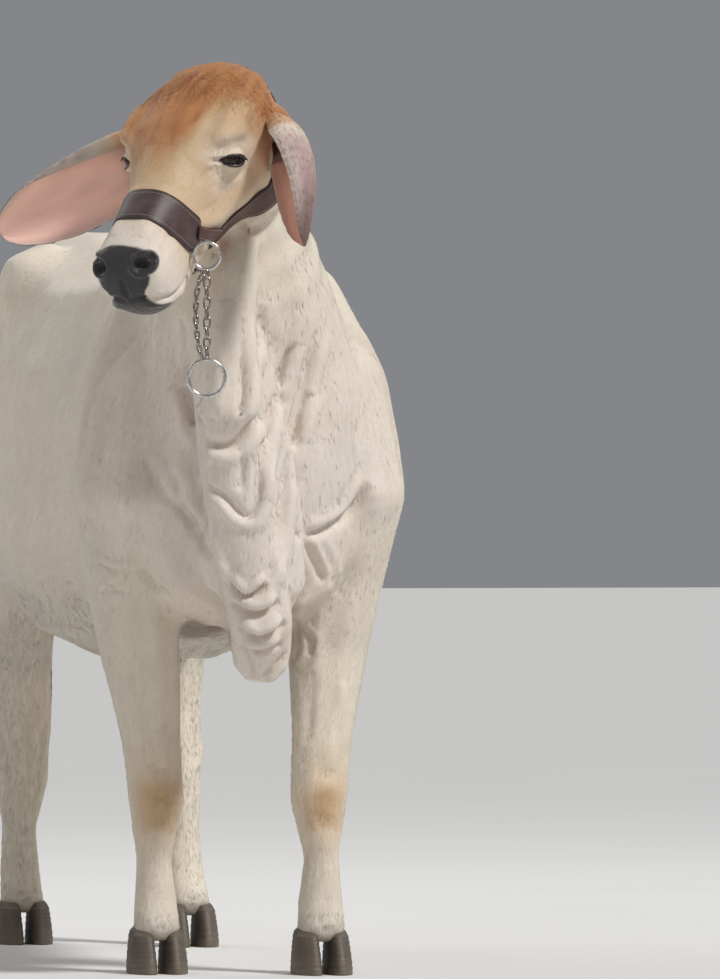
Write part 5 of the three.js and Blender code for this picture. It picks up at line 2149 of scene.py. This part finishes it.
class Halter:
    """A leather show halter: noseband, cheek straps, keepers, crown strap, rings, and two chains."""

    AXIS = -0.100
    NOSE = ((-304, -112), (-314, -100), (-333, -60), (-342, 0), (-333, 60), (-314, 100), (-304, 112))
    CHEEK = ((-262, 150), (-216, 142), (-174, 129), (-120, 124), (-72, 114), (-32, 102), (-8, 84))
    KEEPER = ((-309, 98), (-292, 112), (-270, 124), (-254, 134))
    CROWN = ((-28, 78), (-38, 42), (-44, 0), (-38, -42), (-28, -78))
    CROWN_LEAN = 38
    JAW = ((-305, 160), (-308, 180), (-305, 200))
    RING = 0.0215
    RING_WIRE = 0.0029
    LEAD_RING = 0.029
    LEAD_WIRE = 0.0031
    LINK_WIRE = 0.0017
    ACROSS = np.array((math.cos(math.radians(-14)), math.sin(math.radians(-14)), 0.0))

    def __init__(self, hide: Hide, finishes: dict) -> None:
        """Keeps the skin to lie on and the finishes."""
        self.tree = hide.tree()
        self.leather = finishes["leather"]
        self.cheek_leather = finishes["cheek_leather"]
        self.steel = finishes["steel"]
        self.chain_steel = finishes["chain_steel"]
        self.thread = finishes["thread"]

    def build(self) -> None:
        """Makes every piece of the halter."""
        self._strap("noseband", Route(self.NOSE, 0.030), self.leather, end_half=0.014)
        crown = Route(self.CROWN, 0.016, lift=0.0015, lean=self.CROWN_LEAN)
        self._strap("crown_strap", crown, self.cheek_leather)
        for side in Side:
            way = side.value
            route = tuple((y, turn * way) for y, turn in self.CHEEK)
            cheek = Route(route, 0.0185)
            self._strap(f"cheek_strap_{side.word}", cheek, self.cheek_leather, start_half=0.015)
            route = tuple((y, turn * way) for y, turn in self.KEEPER)
            self._strap(f"keeper_{side.word}", Route(route, 0.011, 0.004, 0.0058), self.cheek_leather)
            self._ring(side)
        self._chains()

    def _on_skin(
        self, y: float, turn: float, lift: float, lean: float = 0
    ) -> tuple[np.ndarray, np.ndarray]:
        """A place over the skin and the way out there.

        Args:
            y: along the head in metres.
            turn: degrees round it.
            lift: height over the skin.
            lean: degrees that the way out leans back.

        Returns:
            The world place and the outward direction.
        """
        angle, back = math.radians(turn), math.tan(math.radians(lean))
        out = unit(HEAD.turned(np.array((math.sin(angle), back, math.cos(angle)))))
        start = HEAD.world(np.array((0, y, self.AXIS))) + out * 0.16
        hit = self.tree.ray_cast(Vector(start), Vector(-out))[0]
        place = np.array(hit) if hit is not None else start - out * 0.05
        return place + out * lift, out

    def _strap(
        self,
        node: str,
        route: Route,
        material: Material,
        start_half: float | None = None,
        end_half: float | None = None,
    ) -> None:
        """One strap with rolled edges and two rows of stitches.

        Args:
            node: the node it stands for.
            route: where it runs.
            material: its leather.
            start_half: its half-width at the start, where it narrows.
            end_half: its half-width at both ends, where it narrows.
        """
        count = 90
        stops = through(np.array(route.stops, float), count)
        found = [self._on_skin(y * MM, turn, 0, route.lean) for y, turn in stops]
        middle, outward = (np.array(rows) for rows in zip(*found))
        middle = softened(middle, 12)
        run = unit(np.gradient(middle, axis=0))
        across = unit(np.cross(run, outward))
        out = unit(np.cross(across, run))
        place = np.linspace(0, 1, count)
        half = np.full(count, route.half)
        if end_half:
            ends = np.minimum(place, 1 - place)
            half = end_half + (route.half - end_half) * ease(ends, 0.0, 0.20)
        if start_half:
            half = start_half + (route.half - start_half) * ease(place, 0.0, 0.16)
        columns = 17
        s = np.linspace(-1, 1, columns)
        spots = middle[:, None] + across[:, None] * (half[:, None] * s)[..., None]
        feet_rows = np.array([[self._foot(spot, way) for spot in row] for row, way in zip(spots, out)])
        for rows in (feet_rows, feet_rows.swapaxes(0, 1)):
            softened(rows, 8)
        crown = route.thick * (1 - 0.45 * np.abs(s) ** 6)
        groove = 0.0007 * bell(np.abs(s), 0.80, 0.05)
        up = out[:, None, :]
        top = feet_rows + up * (route.lift + crown - groove)[None, :, None]
        low = feet_rows + up * (route.lift + 0.0003 * np.abs(s) ** 6)[None, :, None]
        ring = np.concatenate([top, low[:, ::-1]], axis=1)
        shape = lattice(ring)
        worn = np.abs(s) ** 5
        edge = np.tile(np.concatenate([worn, np.ones(columns)]), count)
        shape.edge = np.append(edge, (1, 1))
        piece = tidied(shape).build(node + "_leather", material, "halter_leather")
        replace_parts(piece, node)
        self._stitches(node, top, columns)

    def _foot(self, point: np.ndarray, out: np.ndarray) -> np.ndarray:
        """The skin under a point of a strap, or the point itself where there is none near."""
        hit = self.tree.ray_cast(Vector(point + out * 0.03), Vector(-out), 0.06)[0]
        return np.array(hit) if hit is not None else point

    def _stitches(self, name: str, top: np.ndarray, columns: int) -> None:
        """Two rows of saddle stitches near the edges of a strap."""
        shapes = []
        for column in (2, columns - 3):
            line = top[:, column]
            for spot in np.arange(0.006, lengths(line)[-1] - 0.006, 0.0052):
                path = np.array([at_length(line, spot + reach) for reach in (-0.0017, 0, 0.0017)])
                lift = unit(top[len(top) // 2, columns // 2] - HEAD.world(np.array((0, -0.25, self.AXIS))))
                path = through(path, 4)
                shapes.append(tube(path, (0.0003, 0.00055, 0.00055, 0.0003), 5, up=lift))
        Shape.joined(shapes).build(name + "_stitches", self.thread, "halter_leather")

    def _circle(self, centre: np.ndarray, radius: float, count: int = 64) -> np.ndarray:
        """An upright circle that faces the way the chest does."""
        angle = np.linspace(0, 2 * math.pi, count, endpoint=False)[:, None]
        right = self.ACROSS
        return centre + radius * (np.cos(angle) * right + np.sin(angle) * (0, 0, 1))

    @staticmethod
    def _middle(node: str) -> np.ndarray:
        """The middle of a node's box."""
        low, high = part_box(node)
        return (np.array(low) + np.array(high)) / 2

    def _ring(self, side: Side) -> None:
        """A cheek ring."""
        node = f"cheek_ring_{side.word}"
        path = self._circle(self._middle(node), self.RING)
        piece = loop(path, self.RING_WIRE, 14).build(node + "_wire", self.steel, "halter_steel")
        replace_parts(piece, node)

    def _link(
        self, centre: np.ndarray, along: np.ndarray, facing: np.ndarray, half: float, wide: float
    ) -> Shape:
        """One oval chain link.

        Args:
            centre: its middle.
            along: the way of the chain.
            facing: across the link.
            half: half its length inside.
            wide: half its width.

        Returns:
            The link.
        """
        angle = np.linspace(0, 2 * math.pi, 28, endpoint=False)
        c, s = np.cos(angle), np.sin(angle)
        stretch = np.sign(c) * np.abs(c) ** 0.85 * half
        path = centre + stretch[:, None] * along + (s * wide)[:, None] * facing
        return loop(path, self.LINK_WIRE, 8)

    def _chain(self, line: np.ndarray, half: float, wide: float) -> Shape:
        """Links along a line, each turned a quarter from the last."""
        length = lengths(line)[-1]
        pitch = 2 * half - 2.5 * self.LINK_WIRE
        count = max(2, round((length - 0.002) / pitch))
        pitch = (length - 2 * half + pitch) / count
        shapes = []
        for k in range(count):
            spot = half + k * pitch
            here, ahead = (at_length(line, spot + reach) for reach in (0, 0.002))
            along = unit(ahead - here)
            facing = unit(np.cross(along, np.cross(self.ACROSS, along)))
            if k % 2:
                facing = np.cross(along, facing)
            turned = facing * math.cos(0.35) + np.cross(along, facing) * math.sin(0.35)
            shapes.append(self._link(here, along, turned, half, wide))
        return Shape.joined(shapes)

    def _loose_strand(self) -> np.ndarray:
        """The line of a second strand, that hangs beside the first from the cheek ring to the lead ring and
        stands in mostly for the hanging chain's shadow on the throat.
        """
        upper, lower = self._middle("cheek_ring_left"), self._middle("lead_ring")
        right = self.ACROSS
        ahead = np.array((right[1], -right[0], 0.0)) * 0.004
        stops = [
            upper - right * 0.005 - (0, 0, 0.029),
            upper - right * 0.013 - (0, 0, 0.045) + ahead,
            upper - right * 0.0165 - (0, 0, 0.075) + ahead,
            upper - right * 0.0165 - (0, 0, 0.110) + ahead,
            upper - right * 0.0120 - (0, 0, 0.145) + ahead,
            lower - right * 0.006 + (0, 0, 0.029),
        ]
        return through(np.array(stops), 60)

    def _chains(self) -> None:
        """The hanging chain with its ring, a second strand beside it that stands in mostly for its shadow, and
        the chain under the jaw.
        """
        low, high = (np.array(corner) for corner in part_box("lead_chain"))
        middle = (low + high) / 2
        top = np.array((middle[0], middle[1], high[2] + 0.0035))
        bottom = np.array((middle[0], middle[1], low[2] + 0.0085))
        line = np.linspace(top, bottom, 60)
        # a dark strand of chain put where the hanging chain's shadow falls on the throat
        shadow_strand = self._chain(self._loose_strand(), 0.0080, 0.0036)
        barrel = np.linspace(top + (0, 0, 0.001), top - (0, 0, 0.016), 6)
        swivel = tube(barrel, (0.003, 0.0044, 0.0046, 0.0046, 0.0044, 0.003), 12, up=(0, 1, 0))
        links = Shape.joined([self._chain(line - (0, 0, 0.012), 0.0098, 0.0052), shadow_strand, swivel])
        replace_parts(links.build("lead_chain_links", self.chain_steel, "halter_steel"), "lead_chain")
        path = self._circle(self._middle("lead_ring"), self.LEAD_RING, 80)
        piece = loop(path, self.LEAD_WIRE, 14).build("lead_ring_wire", self.steel, "halter_steel")
        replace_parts(piece, "lead_ring")
        line = [self._on_skin(y * MM, turn, 0.0058)[0] for y, turn in self.JAW]
        left, right = (self._middle(f"cheek_ring_{side.word}") - (0, 0, self.RING + 0.005) for side in Side)
        links = self._chain(through(np.array([left, *line, right]), 90), 0.0084, 0.0044)
        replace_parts(links.build("jaw_chain_links", self.chain_steel, "halter_steel"), "jaw_chain")


# Studio


@dataclass
class Studio:
    """A pale floor, soft light that is brightest from the viewer's upper right, and the camera."""

    floor_radius: float = 60.0
    sensor: float = 24.0

    def build(self) -> None:
        """Makes the floor, lights, world and camera."""
        self._floor()
        self._world()
        self._light("key", 2.5, 0.16, (50, 48))
        self._light("fill", 24, 4.0, (-60, 20), 5.5)
        self._light("back", 55, 3.0, (140, 50), 5.5)
        self._light("back_right", 50, 3.0, (230, 40), 5.5)
        self._camera()

    def _floor(self) -> None:
        """A wide flat floor at z = 0."""
        reach = self.floor_radius
        corners = np.array([(-reach, -reach, 0), (reach, -reach, 0), (reach, reach, 0), (-reach, reach, 0)])
        floor = Shape(corners, np.array([(0, 1, 2, 3)])).build("floor", FloorFinish().make(), None, False)

    def _world(self) -> None:
        """Even pale light from all round."""
        world = bpy.data.worlds.new("studio")
        world.use_nodes = True
        shade = world.node_tree.nodes["Background"]
        shade.inputs["Color"].default_value = (0.93, 0.95, 1.0, 1)
        shade.inputs["Strength"].default_value = 0.25
        bpy.context.scene.world = world

    @staticmethod
    def _light(name: str, power: float, size: float, aim: tuple[float, float], distance: float = 0) -> None:
        """A light that looks at the middle of the body: a soft square, or, with no distance, an even flood.

        Args:
            name: its name.
            power: watts, or watts per square metre of a flood.
            size: its side in metres, or the angle a flood comes from in radians.
            aim: degrees round from the viewer's side and degrees up.
            distance: how far it stands.
        """
        lamp = bpy.data.lights.new(name, "AREA" if distance else "SUN")
        lamp.energy = power
        if distance:
            lamp.size = size
        else:
            lamp.angle = size
        target = Vector((0, 0, 0.8))
        turn, rise = (math.radians(value) for value in aim)
        turn += STANCE.view_azimuth
        out = Vector((math.sin(turn) * math.cos(rise), -math.cos(turn) * math.cos(rise), math.sin(rise)))
        placed = bpy.data.objects.new(name, lamp)
        placed.location = target + out * distance
        placed.rotation_euler = out.to_track_quat("Z", "Y").to_euler()
        bpy.context.scene.collection.objects.link(placed)

    def _camera(self) -> None:
        """The camera at the viewer's place, level, framing what the picture frames."""
        lens = bpy.data.cameras.new("viewer")
        lens.sensor_fit = "VERTICAL"
        lens.sensor_height = self.sensor
        lens.lens = self.sensor / STANCE.frame_height
        lens.clip_end = 200
        camera = bpy.data.objects.new("viewer", lens)
        camera.location = PICTURE.origin
        camera.rotation_euler = (math.radians(90), 0, STANCE.view_azimuth)
        bpy.context.scene.collection.objects.link(camera)
        bpy.context.scene.camera = camera
        bpy.context.scene.view_settings.view_transform = "Standard"


def main() -> None:
    """Builds the animal piece by piece."""
    logging.basicConfig(level=logging.INFO, format="%(relativeCreated)d ms %(message)s")
    Studio().build()
    finishes = {
        "eye": EyeFinish().make(),
        "rim": MuzzleFinish().make(),
        "lash": SwitchFinish("lash hair", high=(0.04, 0.03, 0.02)).make(),
        "leather": LeatherFinish("noseband leather", (0.040, 0.024, 0.024), (0.105, 0.066, 0.064)).make(),
        "cheek_leather": LeatherFinish("cheek leather", (0.045, 0.017, 0.013), (0.115, 0.047, 0.034)).make(),
        "steel": SteelFinish().make(),
        "chain_steel": SteelFinish("tarnished steel", (0.42, 0.385, 0.34), (0.12, 0.10, 0.085)).make(),
        "thread": ThreadFinish().make(),
    }
    log.info("finishes made")
    hide = Hide()
    log.info("skin sculpted: %d points", len(hide.mesh.vertices))
    hide.finish(CoatFinish("short coat").make())
    Eyes().build(finishes)
    leaves = EarLeaves()
    leaves.build(EarFinish().make())
    Claws().build(HornFinish().make())
    Switch().build(SwitchFinish("switch hair").make())
    log.info("eyes, ears, hooves and switch made")
    Halter(hide, finishes).build()
    log.info("halter made")
    coat = Coat(hide, TuftFinish("coat tufts").make())
    grow_coat(coat)
    leaves.fringe(coat)
    log.info("coat grown")


if __name__ == "__main__":
    main()
